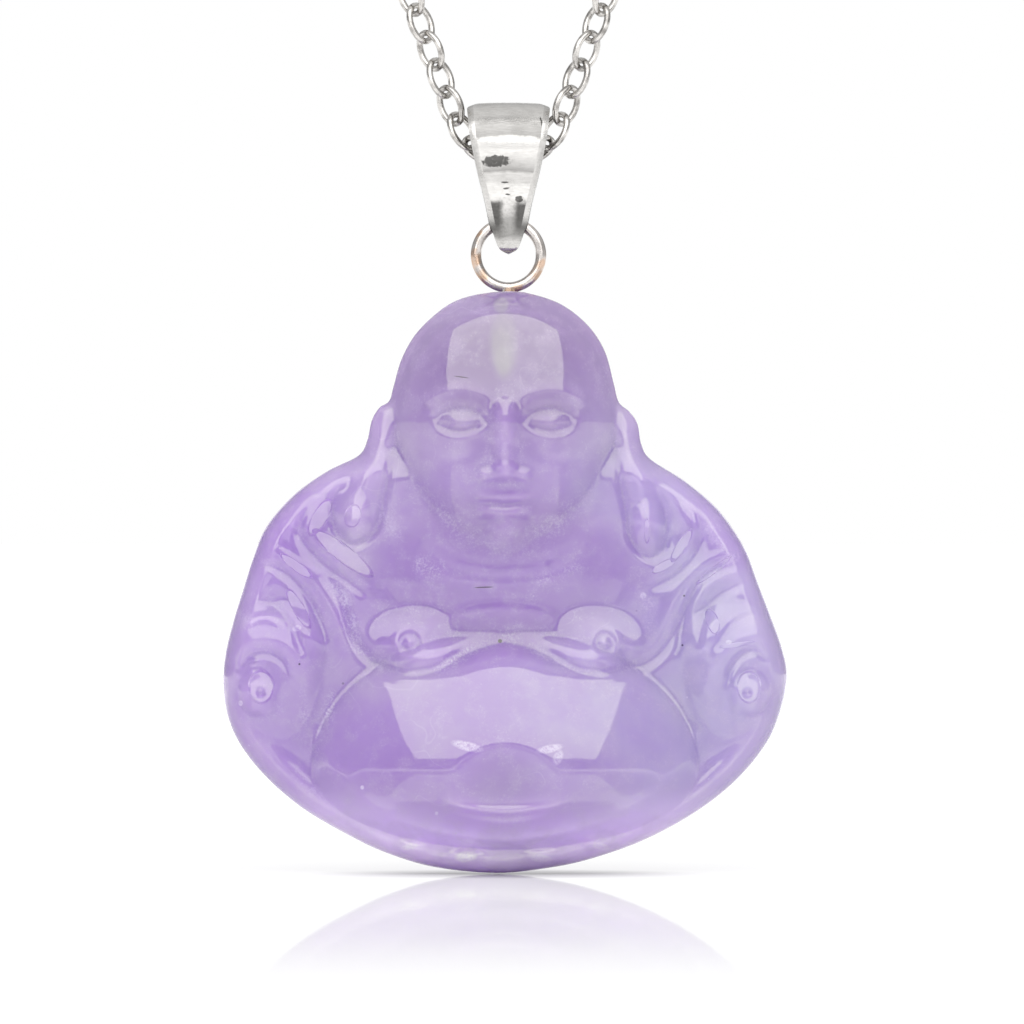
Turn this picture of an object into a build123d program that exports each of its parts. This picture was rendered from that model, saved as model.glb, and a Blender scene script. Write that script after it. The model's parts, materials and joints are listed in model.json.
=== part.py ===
from build123d import *
from collections import namedtuple
from math import acos, asin, cos, degrees, pi, radians, sin, tan
import os
import numpy as np

# A carved jade figure hung from a tapered bail on a cable chain.
# Millimetres. +Z is up, the front faces -Y and the chain loop lies in the XZ plane.
# The origin is the top of the loop, where it rests on the back of the neck.

# Chain, from end to end with its fastening
chain_length = 406.0
link_pitch = 1.718
link_wire = 0.38
link_width = 1.98
link_end_radius = 0.62
link_gap = 0.11
link_turn = 45.0

# The bend in the bail: the middle link lies level, its neighbours climb to the strands
bend_drop = 0.80
bend_pitch = 1.63
bend_angles = (25.0, 60.0)
strand_angle = 20.0

# Fastening: a ring clasp with a fixed eye, and the loose ring that it closes on
clasp_radius = 2.2
clasp_wire = 0.9
clasp_eye_radius = 0.85
clasp_eye_wire = 0.44
clasp_ring_radius = 1.45
clasp_ring_wire = 0.5
clasp_gap = 0.3

# Bail
bail_bore_radius = 1.9
bail_strip = 0.4
bail_width = 4.9
bail_tip_radius = 0.72
bail_tip_solid = 1.45
bail_edge_round = 0.12
bail_corner = 0.3
# Shares of half the bail's width, and of the fall from its shoulder to its tip
bail_taper = [(1.00, 0.00), (0.92, 0.21), (0.76, 0.43), (0.58, 0.64), (0.457, 0.81), (0.376, 0.874), (0.23, 0.963)]

# Eye ring with its peg
ring_diameter = 4.44
ring_wire = 0.62
ring_clearance = 0.12
ring_drop = 6.67
peg_diameter = 0.86
peg_length = 4.5
peg_clearance = 0.07
countersink_width = 1.64
countersink_depth = 0.3
ring_seat = 0.06

# Stone: the widths and heights of its carving are shares of these sizes
stone_width = 33.2
stone_height = 34.2
stone_depth = 7.4
stone_shift = -0.2
stone_back = 2.0
back_round = 0.7
rim_height = 1.6
head_rim_height = 3.1
head_rim_reach = 0.30
rim_change = 0.16
rim_shoulder = 0.7
rim_roll = 1.1
crease_blend = 0.28
dome_foot = 0.08
stroke_fade = 0.34
carving_rows = 60
rim_crowding = 0.4 * pi
outline_middle = (0.0, 0.62)

RimPoint = namedtuple("RimPoint", "across down")
Dome = namedtuple("Dome", "across down half_width above below top base fullness")
Swell = namedtuple("Swell", "across down half_width half_height rise")
Stroke = namedtuple("Stroke", "width rise points")

# Outline of the stone, once round from the crown down the left side.
# across is a share of half its width, down a share of its height.
outline_rows = [
    RimPoint(0.000, 0.000), RimPoint(-0.124, 0.008), RimPoint(-0.213, 0.027), RimPoint(-0.309, 0.069),
    RimPoint(-0.365, 0.115), RimPoint(-0.394, 0.162), RimPoint(-0.410, 0.188), RimPoint(-0.445, 0.200),
    RimPoint(-0.472, 0.222), RimPoint(-0.488, 0.256), RimPoint(-0.520, 0.282), RimPoint(-0.631, 0.309),
    RimPoint(-0.748, 0.349), RimPoint(-0.844, 0.402), RimPoint(-0.892, 0.455), RimPoint(-0.930, 0.513),
    RimPoint(-0.966, 0.570), RimPoint(-0.991, 0.620), RimPoint(-1.000, 0.672), RimPoint(-0.984, 0.730),
    RimPoint(-0.936, 0.782), RimPoint(-0.844, 0.837), RimPoint(-0.720, 0.888), RimPoint(-0.574, 0.930),
    RimPoint(-0.429, 0.964), RimPoint(-0.250, 0.990), RimPoint(-0.030, 1.000), RimPoint(0.160, 0.991),
    RimPoint(0.310, 0.975), RimPoint(0.489, 0.944), RimPoint(0.670, 0.897), RimPoint(0.816, 0.842),
    RimPoint(0.924, 0.779), RimPoint(0.975, 0.723), RimPoint(1.000, 0.662), RimPoint(0.980, 0.610),
    RimPoint(0.940, 0.556), RimPoint(0.896, 0.500), RimPoint(0.856, 0.448), RimPoint(0.805, 0.406),
    RimPoint(0.740, 0.367), RimPoint(0.635, 0.325), RimPoint(0.515, 0.288), RimPoint(0.482, 0.262),
    RimPoint(0.468, 0.227), RimPoint(0.438, 0.206), RimPoint(0.402, 0.190), RimPoint(0.384, 0.157),
    RimPoint(0.353, 0.103), RimPoint(0.294, 0.059), RimPoint(0.201, 0.023), RimPoint(0.090, 0.004),
]

# Rounded masses; top and base are shares of the stone's depth above its flat back.
# A fullness of 1 gives a parabola; less gives a flatter top with steeper sides.
body_middle = (0.0, 0.68)
body_reach = (0.95, 0.36)
body_levels = (0.41, 0.46)
dome_rows = [
    Dome(0.000, 0.325, 0.727, 0.086, 0.351, 0.610, 0.320, 0.450),
    Dome(0.000, 0.821, 0.688, 0.244, 0.138, 1.000, 0.500, 1.000),
    Dome(-0.741, 0.394, 0.234, 0.114, 0.258, 0.600, 0.320, 0.450),
    Dome(0.720, 0.394, 0.234, 0.114, 0.258, 0.600, 0.320, 0.450),
    Dome(-0.805, 0.601, 0.213, 0.086, 0.207, 0.600, 0.320, 0.450),
    Dome(0.798, 0.601, 0.213, 0.086, 0.207, 0.600, 0.320, 0.450),
    Dome(-0.865, 0.687, 0.078, 0.046, 0.046, 0.670, 0.460, 0.450),
    Dome(0.858, 0.687, 0.078, 0.046, 0.046, 0.670, 0.460, 0.450),
]

# Soft swellings and hollows; rise is a share of the stone's depth
swell_rows = [
    Swell(0.000, 0.852, 0.206, 0.086, -0.085),
    Swell(-0.291, 0.611, 0.220, 0.079, 0.100),
    Swell(0.287, 0.611, 0.220, 0.079, 0.100),
    Swell(-0.535, 0.384, 0.071, 0.046, 0.090),
    Swell(0.504, 0.401, 0.067, 0.048, 0.090),
    Swell(-0.138, 0.971, 0.078, 0.019, 0.050),
    Swell(-0.330, 0.955, 0.071, 0.021, 0.040),
    Swell(0.124, 0.967, 0.078, 0.019, 0.040),
    Swell(0.337, 0.948, 0.071, 0.021, 0.040),
]

# Folds, rolls and creases; width is a share of half the stone's width
stroke_rows = [
    Stroke(0.046, 0.075, [(-0.422, 0.208), (-0.447, 0.270), (-0.493, 0.329), (-0.528, 0.380),
                          (-0.535, 0.418)]),
    Stroke(0.046, 0.075, [(0.415, 0.208), (0.443, 0.270), (0.479, 0.329), (0.500, 0.386), (0.507, 0.429)]),
    Stroke(0.050, 0.085, [(-0.564, 0.298), (-0.628, 0.356), (-0.667, 0.408), (-0.606, 0.448),
                          (-0.532, 0.477), (-0.436, 0.511)]),
    Stroke(0.035, 0.065, [(0.550, 0.308), (0.613, 0.363), (0.642, 0.408), (0.621, 0.448), (0.560, 0.475),
                          (0.472, 0.492)]),
    Stroke(0.039, 0.008, [(-0.301, 0.437), (-0.177, 0.475), (0.000, 0.487), (0.177, 0.475),
                          (0.294, 0.441)]),
    Stroke(0.032, 0.045, [(-0.876, 0.434), (-0.794, 0.453), (-0.723, 0.477), (-0.660, 0.508),
                          (-0.613, 0.542), (-0.585, 0.583), (-0.557, 0.628)]),
    Stroke(0.039, 0.050, [(-0.819, 0.491), (-0.755, 0.522), (-0.713, 0.554), (-0.684, 0.594),
                          (-0.663, 0.639)]),
    Stroke(0.032, 0.040, [(-0.968, 0.632), (-0.926, 0.608), (-0.862, 0.596), (-0.798, 0.601),
                          (-0.745, 0.621), (-0.713, 0.656), (-0.699, 0.694)]),
    Stroke(0.032, 0.040, [(0.862, 0.442), (0.755, 0.458), (0.667, 0.482), (0.606, 0.522), (0.578, 0.570),
                          (0.550, 0.621)]),
    Stroke(0.039, 0.050, [(0.862, 0.511), (0.787, 0.532), (0.738, 0.563), (0.713, 0.604), (0.691, 0.649)]),
    Stroke(0.032, 0.040, [(0.940, 0.601), (0.876, 0.589), (0.812, 0.602), (0.762, 0.625), (0.730, 0.656),
                          (0.716, 0.701)]),
    Stroke(0.032, 0.010, [(-0.879, 0.756), (-0.759, 0.824), (-0.599, 0.885), (-0.401, 0.929)]),
    Stroke(0.032, 0.010, [(0.879, 0.756), (0.759, 0.824), (0.599, 0.885), (0.401, 0.929)]),
    Stroke(0.032, 0.016, [(-0.681, 0.740), (-0.599, 0.819), (-0.401, 0.900), (0.000, 0.941), (0.401, 0.900),
                          (0.599, 0.819), (0.681, 0.740)]),
    Stroke(0.032, 0.025, [(-0.241, 0.867), (-0.018, 0.890), (0.241, 0.871)]),
]

# The head, and the features of its face as shares of the head's half width and half height
head = Dome(0.00, 0.222, 0.43, 0.243, 0.243, 0.86, 0.22, 0.45)
face_swells = [
    Swell(0.37, 0.02, 0.26, 0.13, -0.050),
    Swell(-0.37, 0.02, 0.26, 0.13, -0.050),
    Swell(0.37, 0.00, 0.20, 0.095, 0.050),
    Swell(-0.37, 0.00, 0.20, 0.095, 0.050),
    Swell(0.00, -0.36, 0.15, 0.11, 0.060),
    Swell(0.15, -0.39, 0.10, 0.07, 0.034),
    Swell(-0.15, -0.39, 0.10, 0.07, 0.034),
    Swell(0.44, -0.40, 0.34, 0.28, 0.020),
    Swell(-0.44, -0.40, 0.34, 0.28, 0.020),
    Swell(0.00, -0.80, 0.24, 0.13, 0.045),
]
face_strokes = [
    Stroke(0.080, 0.060, [(0.00, 0.18), (0.00, 0.04), (0.00, -0.14), (0.00, -0.34)]),
    Stroke(0.070, 0.020, [(0.10, 0.14), (0.22, 0.20), (0.38, 0.23), (0.54, 0.20), (0.68, 0.12)]),
    Stroke(0.070, 0.020, [(-0.10, 0.14), (-0.22, 0.20), (-0.38, 0.23), (-0.54, 0.20), (-0.68, 0.12)]),
    Stroke(0.030, -0.020, [(0.20, -0.02), (0.28, -0.055), (0.38, -0.070), (0.48, -0.055), (0.56, -0.02)]),
    Stroke(0.030, -0.020, [(-0.20, -0.02), (-0.28, -0.055), (-0.38, -0.070), (-0.48, -0.055), (-0.56, -0.02)]),
    Stroke(0.055, 0.026, [(-0.27, -0.56), (-0.10, -0.545), (0.00, -0.552), (0.10, -0.545), (0.27, -0.56)]),
    Stroke(0.060, 0.030, [(-0.23, -0.61), (-0.10, -0.645), (0.00, -0.652), (0.10, -0.645), (0.23, -0.61)]),
    Stroke(0.030, -0.026, [(-0.29, -0.575), (-0.12, -0.592), (0.00, -0.597), (0.12, -0.592), (0.29, -0.575)]),
]


# Worked out from the sizes above
half_width = stone_width / 2
ring_radius = (ring_diameter - ring_wire) / 2
link_reach = (link_pitch + link_wire + link_gap) / 2
link_half_width = (link_width - link_wire) / 2
stone_top = -ring_drop - ring_diameter / 2 + ring_seat
bail_wire_drop = ring_drop - ring_radius
bail_bore_low = ring_wire / 2 + ring_clearance
bail_tip_drop = bail_wire_drop + bail_bore_low + bail_tip_solid
strand = radians(strand_angle)


# Chain

def oval_link():
    """One closed link: a round wire along four tangent arcs, its long axis on X, flat in XZ."""
    end = link_end_radius
    side = (link_reach**2 - 2 * link_reach * end + link_half_width**2) / (2 * (link_half_width - end))
    half = degrees(asin((link_reach - end) / (side - end)))
    with BuildLine(Plane.XZ) as oval:
        CenterArc((0, link_half_width - side), side, 90 - half, 2 * half)
        CenterArc((end - link_reach, 0), end, 90 + half, 180 - 2 * half)
        CenterArc((0, side - link_half_width), side, 270 - half, 2 * half)
        CenterArc((link_reach - end, 0), end, 270 + half, 180 - 2 * half)
    route = Wire(oval.line.edges())
    return sweep(Plane(origin=route @ 0, z_dir=route % 0) * Circle(link_wire / 2), path=route).solid()


def clasp_places():
    """Where the pieces of the fastening stand along X, from its right end: ring, clasp, eye, half length."""
    hook = link_reach - link_pitch / 2
    ring_right = -hook + (link_wire + clasp_ring_wire) / 2 + link_gap
    ring = ring_right - clasp_ring_radius
    clasp_right = ring - clasp_ring_radius + (clasp_ring_wire + clasp_wire) / 2 + clasp_gap
    clasp = clasp_right - clasp_radius
    eye = clasp - clasp_radius - clasp_wire / 2 - clasp_eye_radius + clasp_eye_wire / 4
    left_end = eye - clasp_eye_radius + (clasp_eye_wire + link_wire) / 2 + link_gap - hook
    half = -left_end / 2
    return half + ring, half + clasp, half + eye, half


def chain_joints(half_fastening):
    """The points where links meet, on the right side, from the bail up to the clasp, bail bore at zero."""
    joints = [Vector(bend_pitch / 2, 0, -bend_drop)]
    for angle in bend_angles:
        joints.append(joints[-1] + bend_pitch * Vector(cos(radians(angle)), 0, sin(radians(angle))))
    bend_length = bend_pitch * (0.5 + len(bend_angles))
    links = round((chain_length / 2 - bend_length - half_fastening) / link_pitch)
    loop_half = bend_length + links * link_pitch + half_fastening
    start = joints[-1]
    arc = pi / 2 + strand
    radius = (loop_half - bend_length + start.X / sin(strand)) / (1 / tan(strand) + arc)
    straight = (radius * cos(strand) - start.X) / sin(strand)
    centre_z = start.Z + straight * cos(strand) + radius * sin(strand)
    for count in range(1, links + 1):
        run = count * link_pitch
        if run <= straight:
            joints.append(start + run * Vector(sin(strand), 0, cos(strand)))
        else:
            turn = (run - straight) / radius - strand
            joints.append(Vector(radius * cos(turn), 0, centre_z + radius * sin(turn)))
    return joints, centre_z + radius


def place_link(link, lower, upper, turn):
    """A link from one joint to the next, turned about its own length."""
    along = (upper - lower).normalized()
    plane = Plane(origin=(lower + upper) / 2, x_dir=along, z_dir=Vector(-along.Z, 0, along.X))
    return plane.location * Rot(turn, 0, 0) * link


def strand_of_links(link, joints, side):
    """All links of one side; each is turned the other way from its neighbours."""
    placed = []
    for index in range(len(joints) - 1):
        lower = Vector(side * joints[index].X, 0, joints[index].Z)
        upper = Vector(side * joints[index + 1].X, 0, joints[index + 1].Z)
        turn = side * link_turn if index % 2 == 0 else -side * link_turn
        placed.append(place_link(link, lower, upper, turn))
    return placed


# Fastening

def flat_ring(radius, wire, turn):
    """A round ring that stands in the XZ plane, turned about X."""
    return Rot(90 + turn, 0, 0) * Torus(radius, wire / 2)


def ring_clasp(clasp_x, eye_x, turn):
    clasp = Pos(clasp_x, 0, 0) * flat_ring(clasp_radius, clasp_wire, 0)
    return clasp + Pos(eye_x, 0, 0) * flat_ring(clasp_eye_radius, clasp_eye_wire, turn)


# Bail

def drop_profile(top_radius, low_radius, drop):
    """Two circles joined by their outer tangents, seen from the side, the small one hung below."""
    lean = acos((top_radius - low_radius) / drop)
    top_side = (top_radius * sin(lean), -top_radius * cos(lean))
    low_side = (low_radius * sin(lean), -drop - low_radius * cos(lean))
    with BuildLine(Plane.YZ) as edge:
        ThreePointArc(top_side, (0, top_radius), (-top_side[0], top_side[1]))
        Line((-top_side[0], top_side[1]), (-low_side[0], low_side[1]))
        ThreePointArc((-low_side[0], low_side[1]), (0, -drop - low_radius), low_side)
        Line(low_side, top_side)
    return make_face(edge.line)


def bail_front():
    """Front outline: barrel sided at the top, tapering to a rounded tip."""
    top = bail_bore_radius + bail_strip
    half = bail_width / 2
    shoulder = top - bail_corner
    fall = shoulder + bail_tip_drop
    right = [(half * wide, shoulder - fall * down) for wide, down in bail_taper]
    left = [(-x, z) for x, z in reversed(right)]
    crown = half - bail_corner
    with BuildLine(Plane.XZ) as edge:
        Line((-crown, top), (crown, top))
        Line((crown, top), right[0])
        Spline(*right, (0, -bail_tip_drop), *left)
        Line(left[-1], (-crown, top))
    return make_face(edge.line)


def bail():
    top = bail_bore_radius + bail_strip
    reach = bail_width / 2 + 1
    band = extrude(drop_profile(top, bail_tip_radius, bail_tip_drop - bail_tip_radius), reach, both=True)
    body = band & extrude(bail_front(), top * 2, both=True)
    body = fillet(body.edges(), bail_edge_round)
    bore = extrude(drop_profile(bail_bore_radius, bail_bore_low, bail_wire_drop), reach, both=True)
    groove = Pos(0, 0, -ring_drop) * flat_ring(ring_radius, ring_wire + 2 * ring_clearance, 0)
    return body - bore - groove


# Eye ring and peg

def eye_ring():
    ring = Pos(0, 0, -ring_drop) * flat_ring(ring_radius, ring_wire, 0)
    peg_top = Pos(0, 0, -ring_drop - ring_radius)
    grip = Align.CENTER, Align.CENTER, Align.MAX
    return ring + peg_top * Cylinder(peg_diameter / 2, ring_wire / 2 + peg_length, align=grip)


# Stone

def curve_through(points, closed, steps):
    """A smooth curve through points: a cubic on each span, with slopes from the points beside it."""
    base = np.array(points, dtype=float)
    if closed:
        padded = np.vstack([base[-1], base, base[0], base[1]])
    else:
        padded = np.vstack([2 * base[0] - base[1], base, 2 * base[-1] - base[-2]])
    share = (np.arange(steps) / steps)[:, None]
    spans = []
    for index in range(1, len(padded) - 2):
        before, start, end, after = padded[index - 1:index + 3]
        spans.append(0.5 * (2 * start + (end - before) * share
                            + (2 * before - 5 * start + 4 * end - after) * share**2
                            + (3 * start - before - 3 * end + after) * share**3))
    if not closed:
        spans.append(base[-1:])
    return np.vstack(spans)


def distance_to(path, x, z):
    """Distance of each point to a path, and how far along the path its nearest point lies, from 0 to 1."""
    nearest = np.full(x.shape, 1e9)
    along = np.zeros(x.shape)
    spans = len(path) - 1
    for index in range(spans):
        start = path[index]
        run = path[index + 1] - start
        share = np.clip(((x - start[0]) * run[0] + (z - start[1]) * run[1]) / (run @ run), 0, 1)
        gap = np.hypot(x - start[0] - share * run[0], z - start[1] - share * run[1])
        closer = gap < nearest
        along[closer] = ((index + share) / spans)[closer]
        nearest = np.minimum(nearest, gap)
    return nearest, along


def on_stone(across, down):
    """From shares of the stone to its own X and Z."""
    return stone_shift + across * half_width, stone_top - down * stone_height


def on_head(across, up):
    """From shares of the head to the stone's X and Z."""
    x, z = on_stone(head.across, head.down)
    return x + across * head.half_width * half_width, z + up * head.above * stone_height


def smooth_max(first, second, blend):
    """The higher of two surfaces, with the crease between them eased over a height of blend."""
    return 0.5 * (first + second + np.sqrt((first - second)**2 + blend**2))


def dome_height(row, x, z):
    """A dome with an eased foot that stands on its base level."""
    middle_x, middle_z = on_stone(row.across, row.down)
    reach = np.where(z > middle_z, row.above, row.below) * stone_height
    ratio = ((x - middle_x) / (row.half_width * half_width))**2 + ((z - middle_z) / reach)**2
    inside = np.clip(1 - ratio, 0, 1)
    cap = inside**row.fullness * (1 - np.exp(-inside / dome_foot))
    return stone_depth * (row.base + (row.top - row.base) * cap)


def swell_height(row, x, z, place, reach_x, reach_z):
    """A round swelling or hollow that fades out at its edge."""
    middle_x, middle_z = place(row.across, row.down)
    ratio = ((x - middle_x) / (row.half_width * reach_x))**2 + ((z - middle_z) / (row.half_height * reach_z))**2
    return stone_depth * row.rise * np.clip(1 - ratio, 0, 1)**2


def stroke_height(row, x, z, place, reach_x):
    """A ridge or groove with a bell section along a curve, fading at both ends."""
    route = curve_through([place(*point) for point in row.points], False, 6)
    gap, along = distance_to(route, x, z)
    fade = np.clip(np.minimum(along, 1 - along) / stroke_fade, 0, 1)
    return stone_depth * row.rise * np.exp(-(gap / (row.width * reach_x))**2) * fade * (2 - fade)


def carving_height(x, z):
    """Height of the carved front above the flat back."""
    middle_x, middle_z = on_stone(*body_middle)
    ratio = ((x - middle_x) / (body_reach[0] * half_width))**2 + ((z - middle_z) / (body_reach[1] * stone_height))**2
    body = np.clip(1 - ratio, 0, 1)
    height = stone_depth * (body_levels[0] + (body_levels[1] - body_levels[0]) * body)
    for row in dome_rows:
        height = smooth_max(height, dome_height(row, x, z), crease_blend)
    for row in swell_rows:
        height = height + swell_height(row, x, z, on_stone, half_width, stone_height)
    for row in stroke_rows:
        height = height + stroke_height(row, x, z, on_stone, half_width)
    height = smooth_max(height, dome_height(head, x, z), crease_blend)
    head_x = head.half_width * half_width
    head_z = head.above * stone_height
    for row in face_swells:
        height = height + swell_height(row, x, z, on_head, head_x, head_z)
    for row in face_strokes:
        height = height + stroke_height(row, x, z, on_head, head_x)
    return height


def outline_reach(angle, rim, middle):
    """Distance from the middle to the outline in each direction."""
    steps = rim - np.array(middle)
    rim_angle = np.arctan2(steps[:, 1], steps[:, 0])
    order = np.argsort(rim_angle)
    return np.interp(angle, rim_angle[order], np.hypot(steps[:, 0], steps[:, 1])[order], period=2 * pi)


def stone_grid():
    """A square bent into a disc, and the disc stretched out to the outline; with each point's way in from the rim."""
    rim = curve_through([on_stone(*point) for point in outline_rows], True, 12)
    middle = on_stone(*outline_middle)
    even = np.linspace(-1, 1, carving_rows)
    share = np.sin(even * rim_crowding) / np.sin(rim_crowding)
    across, up = np.meshgrid(share, share)
    disc_x = across * np.sqrt(1 - up**2 / 2)
    disc_z = up * np.sqrt(1 - across**2 / 2)
    reach = outline_reach(np.arctan2(disc_z, disc_x), rim, middle)
    x = middle[0] + disc_x * reach
    z = middle[1] + disc_z * reach
    inward, _ = distance_to(np.vstack([rim, rim[:1]]), x, z)
    return x, z, inward


def quarter_round(inward, radius):
    """Rises from 0 at the rim to 1 at a radius from it, as a quarter circle does."""
    return np.sqrt(1 - (1 - np.clip(inward / radius, 0, 1))**2)


def facet(*corners):
    """A flat face with straight edges."""
    return Face(Wire.make_polygon([Vector(*corner) for corner in corners], close=True))


def round_the_rim(grid):
    """The outermost points of the grid, once round."""
    return np.concatenate([grid[0, :-1], grid[:-1, -1], grid[-1, :0:-1], grid[:0:-1, 0]])


def back_ring(rim, turn):
    """The rim drawn in and back along the quarter round of the back edge."""
    middle = np.array(on_stone(*outline_middle))
    steps = middle - rim[:, (0, 2)]
    inset = back_round * (1 - cos(radians(turn)))
    moved = rim[:, (0, 2)] + steps * (inset / np.hypot(steps[:, 0], steps[:, 1]))[:, None]
    behind = stone_back - back_round * (1 - sin(radians(turn)))
    return np.column_stack([moved[:, 0], np.full(len(rim), behind), moved[:, 1]])


def stone_block():
    """The carved front, the rim and the flat back with its rounded edge, as one faceted solid."""
    x, z, inward = stone_grid()
    neck = stone_top - head_rim_reach * stone_height
    head_share = np.clip((z - neck) / (rim_change * stone_height) + 0.5, 0, 1)
    edge = rim_height + (head_rim_height - rim_height) * head_share**2 * (3 - 2 * head_share)
    carved = smooth_max(carving_height(x, z), edge + rim_shoulder, crease_blend)
    front = np.stack([x, stone_back - edge - (carved - edge) * quarter_round(inward, rim_roll), z], axis=-1)
    faces = []
    for row in range(carving_rows - 1):
        for column in range(carving_rows - 1):
            first, second = front[row, column], front[row, column + 1]
            third, fourth = front[row + 1, column + 1], front[row + 1, column]
            faces += [facet(first, second, third), facet(first, third, fourth)]
    rim = round_the_rim(front)
    rings = [rim] + [back_ring(rim, turn) for turn in (0, 45, 90)]
    for index in range(len(rim)):
        beside = (index + 1) % len(rim)
        faces.append(facet(rings[0][index], rings[0][beside], rings[1][beside], rings[1][index]))
        for near, far in zip(rings[1:-1], rings[2:]):
            faces += [facet(near[index], near[beside], far[beside]), facet(near[index], far[beside], far[index])]
    faces.append(facet(*rings[-1]))
    return Solid(Shell(faces))


def stone():
    hole_radius = peg_diameter / 2 + peg_clearance
    hole_depth = ring_seat + peg_length + peg_clearance
    above = 1.0
    hole = Pos(0, 0, stone_top + above)
    hole = hole * Cylinder(hole_radius, hole_depth + above, align=(Align.CENTER, Align.CENTER, Align.MAX))
    flare = countersink_width / 2
    sink = Pos(0, 0, stone_top - countersink_depth)
    sink = sink * Cone(hole_radius, flare, countersink_depth, align=(Align.CENTER, Align.CENTER, Align.MIN))
    mouth = Pos(0, 0, stone_top) * Cylinder(flare, above, align=(Align.CENTER, Align.CENTER, Align.MIN))
    return stone_block() - (hole + sink + mouth)


def write_node(name, shape):
    """One STEP file for each node, shifted so that the origin is the top of the loop."""
    export_step(Pos(0, 0, -loop_top) * shape, os.path.join("parts", name + ".step"))


ring_x, clasp_x, eye_x, half_fastening = clasp_places()
joints, loop_top = chain_joints(half_fastening)
link = oval_link()
middle_link = place_link(link, Vector(-joints[0].X, 0, joints[0].Z), joints[0], -link_turn)
last_turn = link_turn if len(joints) % 2 == 0 else -link_turn
fastening = Pos(0, 0, joints[-1].Z)

os.makedirs("parts", exist_ok=True)
write_node("chain_left", Compound(children=strand_of_links(link, joints, -1)))
write_node("chain_right", Compound(children=[middle_link] + strand_of_links(link, joints, 1)))
write_node("clasp", fastening * ring_clasp(clasp_x, eye_x, last_turn))
write_node("clasp_ring", fastening * Pos(ring_x, 0, 0) * flat_ring(clasp_ring_radius, clasp_ring_wire, last_turn))
write_node("bail", bail())
write_node("eye_ring", eye_ring())
write_node("stone", stone())

print("links", 2 * len(joints) - 1, "loop top above the bail's bore", round(loop_top, 3))
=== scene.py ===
import json
import bpy
import numpy as np
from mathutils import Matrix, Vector


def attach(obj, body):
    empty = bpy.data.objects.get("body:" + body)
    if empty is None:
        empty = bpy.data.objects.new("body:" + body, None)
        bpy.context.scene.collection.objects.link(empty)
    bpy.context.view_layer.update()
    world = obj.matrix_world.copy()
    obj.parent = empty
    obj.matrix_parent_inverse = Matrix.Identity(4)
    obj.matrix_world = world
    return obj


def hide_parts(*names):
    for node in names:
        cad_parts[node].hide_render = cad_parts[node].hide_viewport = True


# Jade figure pendant on a silver bail and cable chain.
# Lengths in the settings are millimetres; z is measured from the middle of the bail's bore.

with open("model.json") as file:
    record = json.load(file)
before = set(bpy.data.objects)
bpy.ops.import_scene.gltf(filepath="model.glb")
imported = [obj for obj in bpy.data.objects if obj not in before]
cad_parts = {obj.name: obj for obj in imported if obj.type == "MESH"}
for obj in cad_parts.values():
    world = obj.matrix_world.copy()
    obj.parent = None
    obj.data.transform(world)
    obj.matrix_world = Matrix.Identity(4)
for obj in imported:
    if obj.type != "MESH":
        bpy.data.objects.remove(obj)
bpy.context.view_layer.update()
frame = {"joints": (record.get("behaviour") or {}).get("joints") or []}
mm = 0.001
places = {joint["name"]: joint["pos_m"] for joint in frame["joints"]}
boreZ = places["bail_swing"][2] / mm
print("frame loaded, bore at", round(boreZ, 3))


# Nodes

class Wire:  # a socket's value, with the sums and products that a formula needs
    def __init__(self, paint, socket):
        self.paint, self.socket = paint, socket

    def __add__(self, other):
        return self.paint.sum("ADD", self, other)

    def __sub__(self, other):
        return self.paint.sum("SUBTRACT", self, other)

    def __rsub__(self, other):
        return self.paint.sum("SUBTRACT", other, self)

    def __mul__(self, other):
        return self.paint.sum("MULTIPLY", self, other)

    __radd__ = __add__
    __rmul__ = __mul__


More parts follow.
